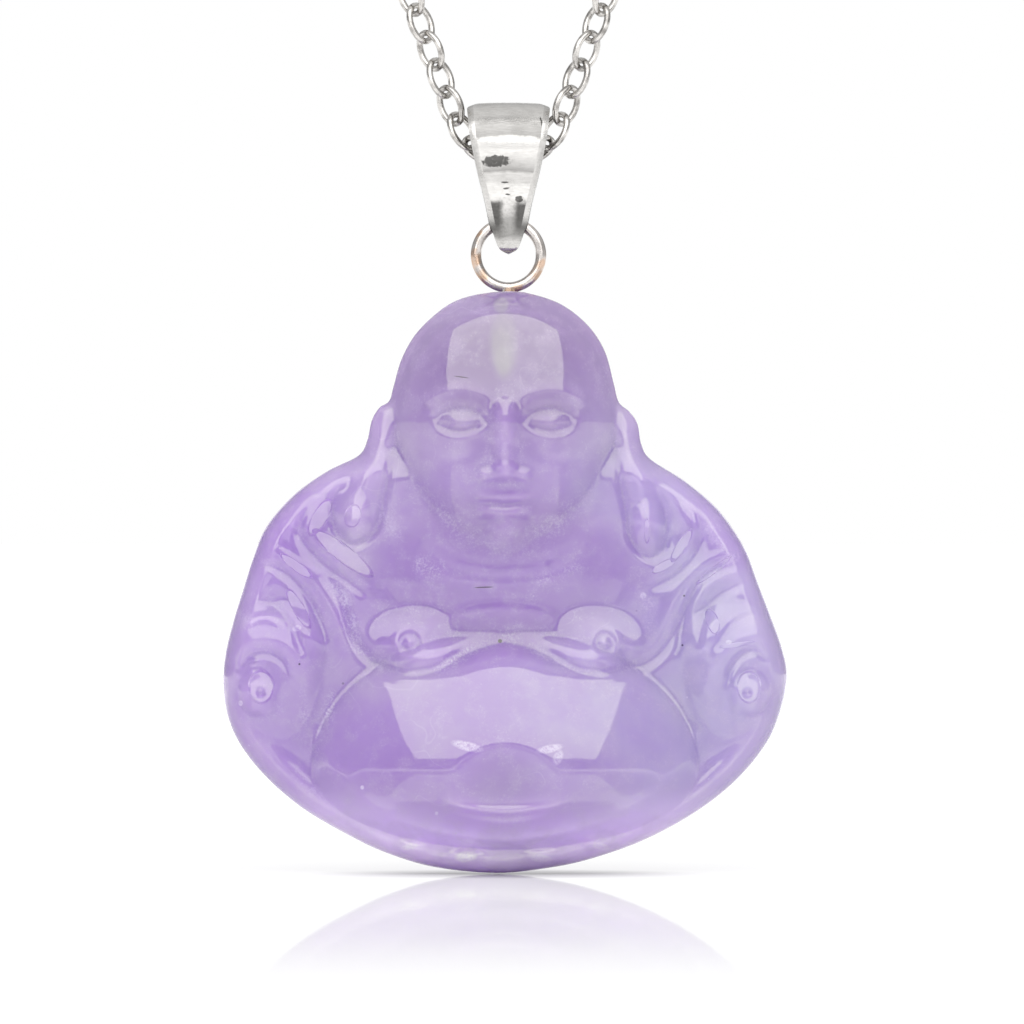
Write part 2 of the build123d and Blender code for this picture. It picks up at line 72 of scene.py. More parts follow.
class Paint:  # one material, or the sky, and its nodes
    def __init__(self, name, kind="materials"):
        self.material = getattr(bpy.data, kind).new(name)
        self.material.use_nodes = True
        self.tree = self.material.node_tree
        self.tree.nodes.clear()

    def add(self, kind, settings=None, inputs=None, out=0):
        made = self.tree.nodes.new("ShaderNode" + kind)
        for key, value in (settings or {}).items():
            setattr(made, key, value)
        for key, value in (inputs or {}).items():
            if isinstance(value, Wire):
                self.tree.links.new(value.socket, made.inputs[key])
            else:
                made.inputs[key].default_value = value
        return Wire(self, made.outputs[out])

    def sum(self, operation, first, second=0.0, third=0.0):
        return self.add("Math", {"operation": operation}, {0: first, 1: second, 2: third})

    def vector(self, operation, first, second, third=(0, 0, 0)):
        return self.add("VectorMath", {"operation": operation}, {0: first, 1: second, 2: third})

    def length(self, value):
        return self.add("VectorMath", {"operation": "LENGTH"}, {0: value}, out=1)

    def step(self, value, low, high, most=1.0, kind="SMOOTHSTEP"):
        # a smooth rise from 0 at low to the most at high, or a fall where low is the greater
        limits = {"Value": value, "From Min": low, "From Max": high, "To Max": most}
        return self.add("MapRange", {"interpolation_type": kind}, limits)

    def follow(self, value, rows):
        # a level that runs straight from row to row of a table of places and levels
        level = rows[0][1]
        for (low, first), (high, second) in zip(rows[:-1], rows[1:]):
            if second != first:
                level = level + self.step(value, low, high, second - first, "LINEAR")
        return level

    def axes(self, where):
        split = self.add("SeparateXYZ", inputs={0: where})
        return [Wire(self, socket) for socket in split.socket.node.outputs]

    def mark(self, where, plan, most=1.0, full=0.6, end=1.1):
        # an oval patch in XZ, from its middle, half width, half height and turn
        x, z, wide, tall, turn = plan
        middle, share = Vector((x, 0, z)), Vector((1 / wide, 0, 1 / tall))
        if turn:
            where = self.add("VectorRotate", {"rotation_type": "Y_AXIS"},
                             {"Vector": where, "Center": middle, "Angle": np.radians(turn)})
        sized = self.vector("MULTIPLY_ADD", where, share, -middle * share)
        return self.step(self.length(sized), end, full, most)

    def marks(self, where, rows):
        # the rows' patches, each as strong as its last column says, added up
        return sum(self.mark(where, row[:5], row[5]) for row in rows)

    def blend(self, share, first, second):
        return self.add("Mix", {"data_type": "RGBA"}, {0: share, 6: first, 7: second}, out=2)

    def spot(self):  # where on the piece, in millimetres from the middle of the bail's bore
        raw = self.add("TexCoord", out=3)
        return self.vector("MULTIPLY_ADD", raw, (1 / mm,) * 3, (0, 0, -boreZ))

    def noise(self, where, size, detail=3.0, rough=0.5):
        return self.add("TexNoise", inputs={
            "Vector": where, "Scale": 1 / size, "Detail": detail, "Roughness": rough})

    def attribute(self, name):
        return self.add("Attribute", {"attribute_name": name}, out=2)

    def finish(self, shader, kind="Material"):
        end = self.tree.nodes.new("ShaderNodeOutput" + kind)
        self.tree.links.new(shader.socket, end.inputs["Surface"])
        return self.material


def tint(red, green, blue):  # screen colour from 0 to 255, as the linear colour that a shader takes
    share = np.array([red, green, blue]) / 255
    linear = np.where(share <= 0.04045, share / 12.92, ((share + 0.055) / 1.055) ** 2.4)
    return (*linear.tolist(), 1.0)


# Meshes

def gridQuads(rows, columns, closeRows, closeColumns):
    # the four corners of every cell of a grid, wrapped round where a side is closed
    cellCounts = np.arange(rows - (not closeRows)), np.arange(columns - (not closeColumns))
    row, column = np.meshgrid(*cellCounts, indexing="ij")
    nextRow, nextColumn = (row + 1) % rows, (column + 1) % columns
    cells = [row * columns + nextColumn, nextRow * columns + nextColumn,
             nextRow * columns + column, row * columns + column]
    return np.stack(cells, axis=-1).reshape(-1, 4)


def makePiece(name, points, faces, body, node, paint, marks=None):
    # one mesh from points in millimetres and a list of face arrays, riding on a body and standing for a node
    mesh = bpy.data.meshes.new(name)
    faceLists = [part.tolist() if isinstance(part, np.ndarray) else part for part in faces]
    mesh.from_pydata((points * mm).tolist(), [], [face for part in faceLists for face in part])
    mesh.update()
    mesh.polygons.foreach_set("use_smooth", np.ones(len(mesh.polygons), dtype=bool))
    for key, values in (marks or {}).items():
        mesh.attributes.new(key, "FLOAT", "POINT").data.foreach_set("value", values)
    mesh.materials.append(paint)
    piece = bpy.data.objects.new(name, mesh)
    bpy.context.scene.collection.objects.link(piece)
    if body:
        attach(piece, body)
    if node:
        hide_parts(node)
    return piece


def applyModifiers(piece):
    # the finished mesh takes the place of the live modifiers
    bpy.context.view_layer.update()
    seen = piece.evaluated_get(bpy.context.evaluated_depsgraph_get())
    finished = bpy.data.meshes.new_from_object(seen)
    piece.modifiers.clear()
    piece.data = finished


def combine(piece, tool, operation):
    # cuts or joins with another mesh, which is then removed
    cut = piece.modifiers.new("cut", "BOOLEAN")
    cut.operation, cut.object, cut.solver = operation, tool, "EXACT"
    applyModifiers(piece)
    bpy.data.objects.remove(tool)


def curveThrough(points, closed, steps):
    # a smooth curve through points: a cubic on each span, with its slopes from the points beside it
    base = np.array(points, dtype=float)
    if closed:
        padded = np.vstack([base[-1], base, base[0], base[1]])
    else:
        padded = np.vstack([2 * base[0] - base[1], base, 2 * base[-1] - base[-2]])
    t = (np.arange(steps) / steps)[None, :, None]
    p0, p1, p2, p3 = (padded[shift:len(padded) - 3 + shift][:, None] for shift in range(4))
    square, cube = 2 * p0 - 5 * p1 + 4 * p2 - p3, 3 * p1 - p0 - 3 * p2 + p3
    spans = 0.5 * (2 * p1 + (p2 - p0) * t + square * t**2 + cube * t**3)
    curve = spans.reshape(-1, base.shape[1])
    return curve if closed else np.vstack([curve, base[-1:]])


def ringPoints(radius, wire, centre, turn, around, section):
    # a torus in XZ turned about X: the wire's circle carried round a larger circle
    a = np.linspace(0, 2 * np.pi, around, endpoint=False)[:, None]
    b = np.linspace(0, 2 * np.pi, section, endpoint=False)[None, :]
    out = radius + wire / 2 * np.cos(b)
    x, z = out * np.cos(a), out * np.sin(a)
    y = wire / 2 * np.sin(b) + 0 * a
    lean = np.radians(turn)
    turned = [x, y * np.cos(lean) - z * np.sin(lean), y * np.sin(lean) + z * np.cos(lean)]
    return np.stack(turned, axis=-1).reshape(-1, 3) + np.array(centre)


def rod(radius, top, bottom, sides):
    # a closed upright cylinder: a ring at each end and a flat cap on each
    a = np.linspace(0, 2 * np.pi, sides, endpoint=False)
    x, y = radius * np.cos(a), radius * np.sin(a)
    points = np.vstack([np.column_stack([x, y, np.full(sides, z)]) for z in (top, bottom)])
    caps = [list(range(sides)), list(range(2 * sides - 1, sides - 1, -1))]
    return points, [gridQuads(2, sides, False, True)[:, ::-1], caps]


# Silver

def silverPaint(name, bright, dull, rough, plan, shade=None):
    # polished silver: soft clouds of wear, fine scratches along one direction and darker tarnish in patches,
    # with painted reflections and shade where a shade is given
    paint = Paint(name)
    where = paint.spot()
    cloud = paint.noise(where, plan["cloud"], 4.0, 0.6)
    streak = paint.noise(paint.vector("MULTIPLY", where, plan["stretch"]), plan["streak"], 5.0, 0.7)
    worn = paint.step(cloud, 0.42, 0.68)
    scratched = paint.step(streak, 0.35, 0.75)
    colour = paint.blend(worn * plan["tarnish"], bright, dull)
    colour = paint.blend(scratched * plan["scratch"], colour, tint(120, 117, 113))
    if "warm" in plan:
        warm = paint.step(paint.noise(where, 1.3, 2.0), 0.46, 0.62)
        colour = paint.blend(warm * plan["warm"], colour, tint(186, 148, 116))
    roughness = rough + worn * 0.10 + scratched * 0.08
    # painted reflections and shade: the shade takes the colour from near black up to the silver
    if shade:
        colour = paint.blend(shade(paint, where), tint(34, 33, 31), colour)
    bump = paint.add("Bump", inputs={"Strength": plan["bump"], "Distance": 0.00002, "Height": streak})
    shader = paint.add("BsdfPrincipled", inputs={
        "Base Color": colour, "Roughness": roughness, "Metallic": 1.0, "Normal": bump})
    return paint.finish(shader)


dullSilver = tint(134, 131, 128)
chainSilver = silverPaint("chainSilver", tint(206, 203, 199), dullSilver, 0.13, {
    "cloud": 0.6, "streak": 0.25, "stretch": (1.0, 1.0, 1.0), "tarnish": 0.85, "scratch": 0.35,
    "bump": 0.25,
})
ringSilver = silverPaint("ringSilver", tint(212, 206, 202), dullSilver, 0.14, {
    "cloud": 1.1, "streak": 0.3, "stretch": (1.0, 1.0, 1.0), "tarnish": 0.50, "scratch": 0.35,
    "warm": 0.7, "bump": 0.25,
})


# Chain

chain = {
    "length": 406.0, "pitch": 1.718, "wire": 0.38, "width": 1.98, "endRadius": 0.62, "gap": 0.11,
    "turn": 45.0, "bendDrop": 0.80, "bendPitch": 1.63, "bendAngles": (25.0, 60.0), "strandAngle": 20.0,
    "fineLinks": 14, "fineSteps": (40, 12), "coarseSteps": (14, 5),
}
clasp = {
    "radius": 2.2, "wire": 0.9, "eyeRadius": 0.85, "eyeWire": 0.44, "ringRadius": 1.45, "ringWire": 0.5,
    "gap": 0.3,
}


def linkShape(plan, steps):
    # an oval of four tangent arcs in XZ, given by the direction it faces, with a round wire carried along it
    reach = (plan["pitch"] + plan["wire"] + plan["gap"]) / 2
    half = (plan["width"] - plan["wire"]) / 2
    end = plan["endRadius"]
    side = (reach**2 - 2 * reach * end + half**2) / (2 * (half - end))
    corner = np.pi / 2 - np.arcsin((reach - end) / (side - end))
    facing = np.linspace(0, 2 * np.pi, 721)
    onEnd = np.arctan2(np.abs(np.sin(facing)), np.abs(np.cos(facing))) < corner
    radius = np.where(onEnd, end, side)
    x = np.where(onEnd, np.sign(np.cos(facing)) * (reach - end), 0) + radius * np.cos(facing)
    z = np.where(onEnd, 0, np.sign(np.sin(facing)) * (half - side)) + radius * np.sin(facing)
    run = np.concatenate([[0], np.cumsum(np.hypot(np.diff(x), np.diff(z)))])
    even = np.linspace(0, run[-1], steps[0], endpoint=False)
    x, z, facing = (np.interp(even, run, values)[:, None] for values in (x, z, facing))
    b = np.linspace(0, 2 * np.pi, steps[1], endpoint=False)[None, :]
    out = plan["wire"] / 2 * np.cos(b)
    y = plan["wire"] / 2 * np.sin(b) + 0 * x
    return np.stack([x + out * np.cos(facing), y, z + out * np.sin(facing)], axis=-1).reshape(-1, 3)


def fasteningPlaces(plan, hook):
    # from the right end: loose ring, clasp, its eye and half the whole length, along X
    ringRight = -hook + (plan["wire"] + clasp["ringWire"]) / 2 + plan["gap"]
    ring = ringRight - clasp["ringRadius"]
    ringLeft = ring - clasp["ringRadius"]
    claspX = ringLeft + (clasp["ringWire"] + clasp["wire"]) / 2 + clasp["gap"] - clasp["radius"]
    eye = claspX - clasp["radius"] - clasp["wire"] / 2 - clasp["eyeRadius"] + clasp["eyeWire"] / 4
    leftEnd = eye - clasp["eyeRadius"] + (clasp["eyeWire"] + plan["wire"]) / 2 + plan["gap"] - hook
    half = -leftEnd / 2
    return half + ring, half + claspX, half + eye, half


def chainJoints(plan, halfFastening):
    # where links meet on the right side: a short bend under the bail, a straight run and an arc over the top
    joints = [np.array([plan["bendPitch"] / 2, -plan["bendDrop"]])]
    for angle in np.radians(plan["bendAngles"]):
        joints.append(joints[-1] + plan["bendPitch"] * np.array([np.cos(angle), np.sin(angle)]))
    lean = np.radians(plan["strandAngle"])
    bendLength = plan["bendPitch"] * (0.5 + len(plan["bendAngles"]))
    links = round((plan["length"] / 2 - bendLength - halfFastening) / plan["pitch"])
    loopHalf = bendLength + links * plan["pitch"] + halfFastening
    start = joints[-1]
    radius = (loopHalf - bendLength + start[0] / np.sin(lean)) / (1 / np.tan(lean) + np.pi / 2 + lean)
    straight = (radius * np.cos(lean) - start[0]) / np.sin(lean)
    centreZ = start[1] + straight * np.cos(lean) + radius * np.sin(lean)
    run = plan["pitch"] * np.arange(1, links + 1)[:, None]
    onLine = start + run * np.array([[np.sin(lean), np.cos(lean)]])
    turn = (run - straight) / radius - lean
    onArc = np.hstack([radius * np.cos(turn), centreZ + radius * np.sin(turn)])
    return np.vstack([joints, np.where(run <= straight, onLine, onArc)])


def placeLinks(shape, ends, turns):
    # every link at once: its long axis from joint to joint, turned about that axis
    low, high = ends
    along = (high - low) / np.linalg.norm(high - low, axis=1)[:, None]
    turns = np.radians(turns)[:, None]
    y = shape[None, :, 1] * np.cos(turns) - shape[None, :, 2] * np.sin(turns)
    up = shape[None, :, 1] * np.sin(turns) + shape[None, :, 2] * np.cos(turns)
    middle = (low + high) / 2
    x = middle[:, :1] + shape[None, :, 0] * along[:, :1] - up * along[:, 1:]
    z = middle[:, 1:] + shape[None, :, 0] * along[:, 1:] + up * along[:, :1]
    return np.stack([x, y, z], axis=-1)


def strandPiece(name, ends, turns, plan):
    # links near the bail are finer than those that run out of the picture
    points, faces, start = [], [], 0
    fine = plan["fineLinks"]
    for steps, part in ((plan["fineSteps"], slice(0, fine)), (plan["coarseSteps"], slice(fine, None))):
        placed = placeLinks(linkShape(plan, steps), (ends[0][part], ends[1][part]), turns[part])
        cells = gridQuads(*steps, True, True)
        offsets = start + np.arange(len(placed))[:, None, None] * placed.shape[1]
        faces.append((cells[None] + offsets).reshape(-1, 4))
        points.append(placed.reshape(-1, 3))
        start += placed.shape[0] * placed.shape[1]
    points = np.vstack(points) + [0, 0, boreZ]
    return makePiece(name, points, faces, "chain", name.replace("Links", ""), chainSilver)


def makeChain():
    hook = (chain["wire"] + chain["gap"]) / 2
    ringX, claspX, eyeX, halfFastening = fasteningPlaces(chain, hook)
    joints = chainJoints(chain, halfFastening)
    count = len(joints) - 1
    turns = chain["turn"] * np.where(np.arange(count) % 2 == 0, 1, -1)
    mirror = np.array([[-1, 1]])
    strandPiece("chain_leftLinks", (joints[:-1] * mirror, joints[1:] * mirror), -turns, chain)
    middle = np.array([[-joints[0][0], joints[0][1]]])
    low, high = np.vstack([middle, joints[:-1]]), np.vstack([joints[:1], joints[1:]])
    strandPiece("chain_rightLinks", (low, high), np.concatenate([[-chain["turn"]], turns]), chain)
    lastTurn = chain["turn"] if len(joints) % 2 == 0 else -chain["turn"]
    topZ = joints[-1][1] + boreZ
    sizes = (96, 24)
    faces = [gridQuads(*sizes, True, True)]
    points = ringPoints(clasp["radius"], clasp["wire"], (claspX, 0, topZ), 0, *sizes)
    body = makePiece("claspRing", points, faces, "chain", "clasp", chainSilver)
    points = ringPoints(clasp["eyeRadius"], clasp["eyeWire"], (eyeX, 0, topZ), lastTurn, *sizes)
    eye = makePiece("claspEye", points, faces, None, None, chainSilver)
    combine(body, eye, "UNION")
    points = ringPoints(clasp["ringRadius"], clasp["ringWire"], (ringX, 0, topZ), lastTurn, *sizes)
    makePiece("endRing", points, faces, "chain", "clasp_ring", chainSilver)


makeChain()
print("chain made")


# Bail

bail = {
    "bore": 1.9, "thickness": 0.399, "width": 4.9, "tipRadius": 0.72, "tipSolid": 1.45, "corner": 0.3,
    # half width and place down the front, as shares
    "taper": [(1.00, 0.00), (0.92, 0.21), (0.76, 0.43), (0.58, 0.64), (0.457, 0.81), (0.376, 0.874),
              (0.23, 0.963)],
    "bevelWidth": 0.34, "bevelDepth": 0.10, "crown": 0.10, "keelTop": -3.3, "keelDepth": 0.16,
    "steps": (64, 40, 32),
    # painted reflections down the face, light and dark bands: brightness by millimetres below the middle of
    # the bore
    "face": [(-1.50, 0.90), (-1.10, 0.40), (-0.35, 0.34), (-0.14, 1.00), (0.60, 1.00), (1.05, 0.80),
             (1.50, 0.62), (1.74, 0.46), (1.90, 0.80), (2.30, 0.78), (2.60, 1.00), (3.30, 1.00),
             (3.80, 0.86), (4.60, 0.46), (5.50, 0.38), (5.90, 0.70)],
    # how far the painted reflection bands bow down towards the edges, and how far they waver
    "bow": 0.045, "waver": 0.30,
    # painted shade on the sides low down: where it starts, is full, fades and ends, kept off the keel; the
    # edge strips' width and their painted shade
    "paintedShadeSides": (3.30, 3.85, 5.00, 5.80), "keelHalf": (0.12, 0.60), "strip": 0.36, "stripShade": 0.74,
    # stains: across, up, half width, half height, turn
    "stains": [
        (-0.74, -1.22, 0.95, 0.40, 3.0), (1.98, 0.92, 0.07, 0.60, 15.0), (-0.20, -2.45, 0.28, 0.06, 0.0),
        (-0.12, -2.80, 0.24, 0.07, 8.0), (-0.05, -3.15, 0.18, 0.06, -8.0), (0.62, -3.42, 0.25, 0.22, 0.0),
    ],
}
eyeRing = {
    "diameter": 4.44, "wire": 0.62, "clearance": 0.12, "drop": 6.67, "pegDiameter": 0.86, "pegLength": 4.5,
    "seat": 0.06,
}
ringMiddle = (eyeRing["diameter"] - eyeRing["wire"]) / 2


def dropLoop(topRadius, lowRadius, drop, steps):
    # side view, once round from the top: a large arc, a straight tangent, a small arc and back up; y and z
    lean = np.arccos((topRadius - lowRadius) / drop)
    top, line, low = steps
    fromTop = np.linspace(0, np.pi - lean, top, endpoint=False)
    under = np.linspace(np.pi - lean, np.pi, low)
    share = np.linspace(0, 1, line, endpoint=False)[:, None]
    upper = topRadius * np.column_stack([-np.sin(fromTop), np.cos(fromTop)])
    lower = lowRadius * np.column_stack([-np.sin(under), np.cos(under)]) - [0, drop]
    corner = topRadius * np.array([-np.sin(lean), -np.cos(lean)])
    side = corner + (lower[0] - corner) * share
    half = np.vstack([upper, side, lower])
    return np.vstack([half, half[-2:0:-1] * [-1, 1]])


def bailHalfWidth(z, plan, drop):
    # half the bail's width at each height, from the table of its taper
    top = plan["bore"] + plan["thickness"] - plan["corner"]
    half, fall = plan["width"] / 2, top + drop
    rows = [(wide * half, top - fall * down) for wide, down in plan["taper"]] + [(0.0, -drop)]
    table = curveThrough(rows, False, 12)
    width = np.interp(-z, -table[:, 1], table[:, 0])
    rounded = np.clip((z - top) / plan["corner"], 0, 1)
    return np.maximum(width - plan["corner"] * (1 - np.sqrt(1 - rounded**2)) * (z > top), 0.03)


def bailShade(paint, where):
    # painted reflections and shade over the bail: light and dark bands down its face, painted shade on the
    # sides low down, stains, and painted shade on the edge strips
    x, _, z = paint.axes(where)
    down, aside = 0 - z, paint.sum("ABSOLUTE", x)
    fine = paint.noise(where, 0.22, 4.0, 0.8)
    waver = (paint.noise(where, 1.1, 3.0, 0.6) - 0.5) * bail["waver"] + (fine - 0.5) * 0.10
    waver = waver * (1 + paint.step(down, 1.6, 3.0) * 2.0)
    bowed = down - x * x * bail["bow"] + waver
    shade = paint.follow(bowed, bail["face"])
    # painted shade on the sides low down, and patchy darkening further down
    start, full, fading, end = bail["paintedShadeSides"]
    sides = paint.step(bowed, start, full) * paint.step(down, end, fading)
    sides = sides * paint.step(aside + waver * 0.35, *bail["keelHalf"])
    shade = shade * (1 - sides * (0.84 - paint.step(down, 3.8, 5.4) * 0.22))
    shade = shade * (1 - paint.step(fine, 0.50, 0.68) * paint.step(down, 2.2, 3.6) * 0.22)
    for row in bail["stains"]:
        patch = paint.mark(where, row) - paint.step(fine, 0.40, 0.62) * 0.75
        shade = shade * (1 - paint.step(patch, 0.02, 0.35) * 0.82)
    # painted shade along the edge strips
    top = bail["bore"] + bail["thickness"] - bail["corner"]
    fall = top + bailTipDrop(bail, eyeRing)
    taper = [(fall * share - top, wide * bail["width"] / 2) for wide, share in bail["taper"]]
    fromEdge = paint.follow(down, taper + [(fall - top, 0.0)]) - aside
    strip = paint.step(fromEdge, bail["strip"] + 0.03, bail["strip"] - 0.03) * paint.step(down, 5.2, 4.2)
    return shade * (1 - strip) + bail["stripShade"] * strip


def bailTipDrop(plan, ring):
    return ring["drop"] - ringMiddle + ring["wire"] / 2 + ring["clearance"] + plan["tipSolid"]


bailWear = {
    "cloud": 1.6, "streak": 0.5, "stretch": (1.0, 1.0, 9.0), "tarnish": 0.20, "scratch": 0.25, "bump": 0.35,
}
bailSilver = silverPaint("bailSilver", tint(226, 224, 221), dullSilver, 0.15,
                         bailWear, bailShade)


def makeBail(plan, ring):
    wireDrop = ring["drop"] - ringMiddle
    boreLow = ring["wire"] / 2 + ring["clearance"]
    tipDrop = bailTipDrop(plan, ring)
    topRadius, tipRadius = plan["bore"] + plan["thickness"], plan["tipRadius"]
    outer = dropLoop(topRadius, tipRadius, tipDrop - tipRadius, plan["steps"])
    inner = dropLoop(plan["bore"], boreLow, wireDrop, plan["steps"])
    toInner = inner - outer
    thick = np.linalg.norm(toInner, axis=1)[:, None]
    toInner = toInner / thick
    face = np.linspace(-1, 1, 33)
    rim = np.array([-1.0, -1.0])
    # across the strip: the domed face with its bevels, a side, the flat inside and the other side
    share = np.concatenate([face, [1.0, 1.0], np.linspace(0.985, -0.985, 9), rim])[None, :]
    outside = np.concatenate([np.ones(33), [1, 0], np.zeros(9), [0, 1]])[None, :]
    sides = np.concatenate([np.zeros(33), [0.5, 0.85], np.zeros(9), [0.85, 0.5]])[None, :]
    wide = bailHalfWidth(outer[:, 1], plan, tipDrop)[:, None]
    x = share * wide
    fromEdge = np.clip(wide - np.abs(x), 0, None)
    bevel = plan["bevelDepth"] * np.clip(1 - fromEdge / np.minimum(plan["bevelWidth"], wide * 0.3), 0, 1)
    dome = plan["crown"] * (x / (plan["width"] / 2)) ** 2
    keelShare = np.clip((plan["keelTop"] - outer[:, 1:]) / 1.2, 0, 1) * np.clip(thick / 1.2 + 0.5, 0, 1)
    keel = plan["keelDepth"] * keelShare * np.clip(np.abs(x) / wide * 1.6 - 0.25, 0, 1)
    nearTip = np.clip((outer[:, 1:] + tipDrop) / 1.3, 0, 1)
    depth = np.where(sides > 0, sides * thick, np.where(outside > 0, (bevel + dome + keel) * nearTip, thick))
    y = outer[:, :1] + toInner[:, :1] * depth
    z = outer[:, 1:] + toInner[:, 1:] * depth
    ownWide = bailHalfWidth(z, plan, tipDrop)
    x = share * np.minimum(ownWide, np.where(outside > 0, wide, ownWide))
    points = np.stack([x, y, z + boreZ], axis=-1)
    rows, columns = points.shape[:2]
    faces = [gridQuads(rows, columns, True, True)]
    piece = makePiece("bailStrip", points.reshape(-1, 3), faces, "bail", "bail", bailSilver)
    sizes = (144, 32)
    middle = (0, 0, boreZ - ring["drop"])
    points = ringPoints(ringMiddle, ring["wire"] + 2 * ring["clearance"], middle, 0, *sizes)
    groove = makePiece("groove", points, [gridQuads(*sizes, True, True)], None, None, bailSilver)
    combine(piece, groove, "DIFFERENCE")
    smoothByAngle(piece, 38)


def smoothByAngle(piece, angle):
    # edges sharper than the angle stay crisp
    with bpy.context.temp_override(object=piece, active_object=piece, selected_objects=[piece],
                                   selected_editable_objects=[piece]):
        bpy.ops.object.shade_smooth_by_angle(angle=np.radians(angle), keep_sharp_edges=False)
    applyModifiers(piece)


makeBail(bail, eyeRing)
print("bail made")


# Eye ring and peg

def makeEyeRing(plan):
    sizes = (160, 32)
    middle = (0, 0, boreZ - plan["drop"])
    points = ringPoints(ringMiddle, plan["wire"], middle, 0, *sizes)
    ring = makePiece("eyeRing", points, [gridQuads(*sizes, True, True)], "pendant", "eye_ring", ringSilver)
    top = boreZ - plan["drop"] - ringMiddle
    points, faces = rod(plan["pegDiameter"] / 2, top, top - plan["wire"] / 2 - plan["pegLength"], 40)
    peg = makePiece("peg", points, faces, None, None, ringSilver)
    combine(ring, peg, "UNION")
    smoothByAngle(ring, 40)


makeEyeRing(eyeRing)
print("eye ring made")


# Stone

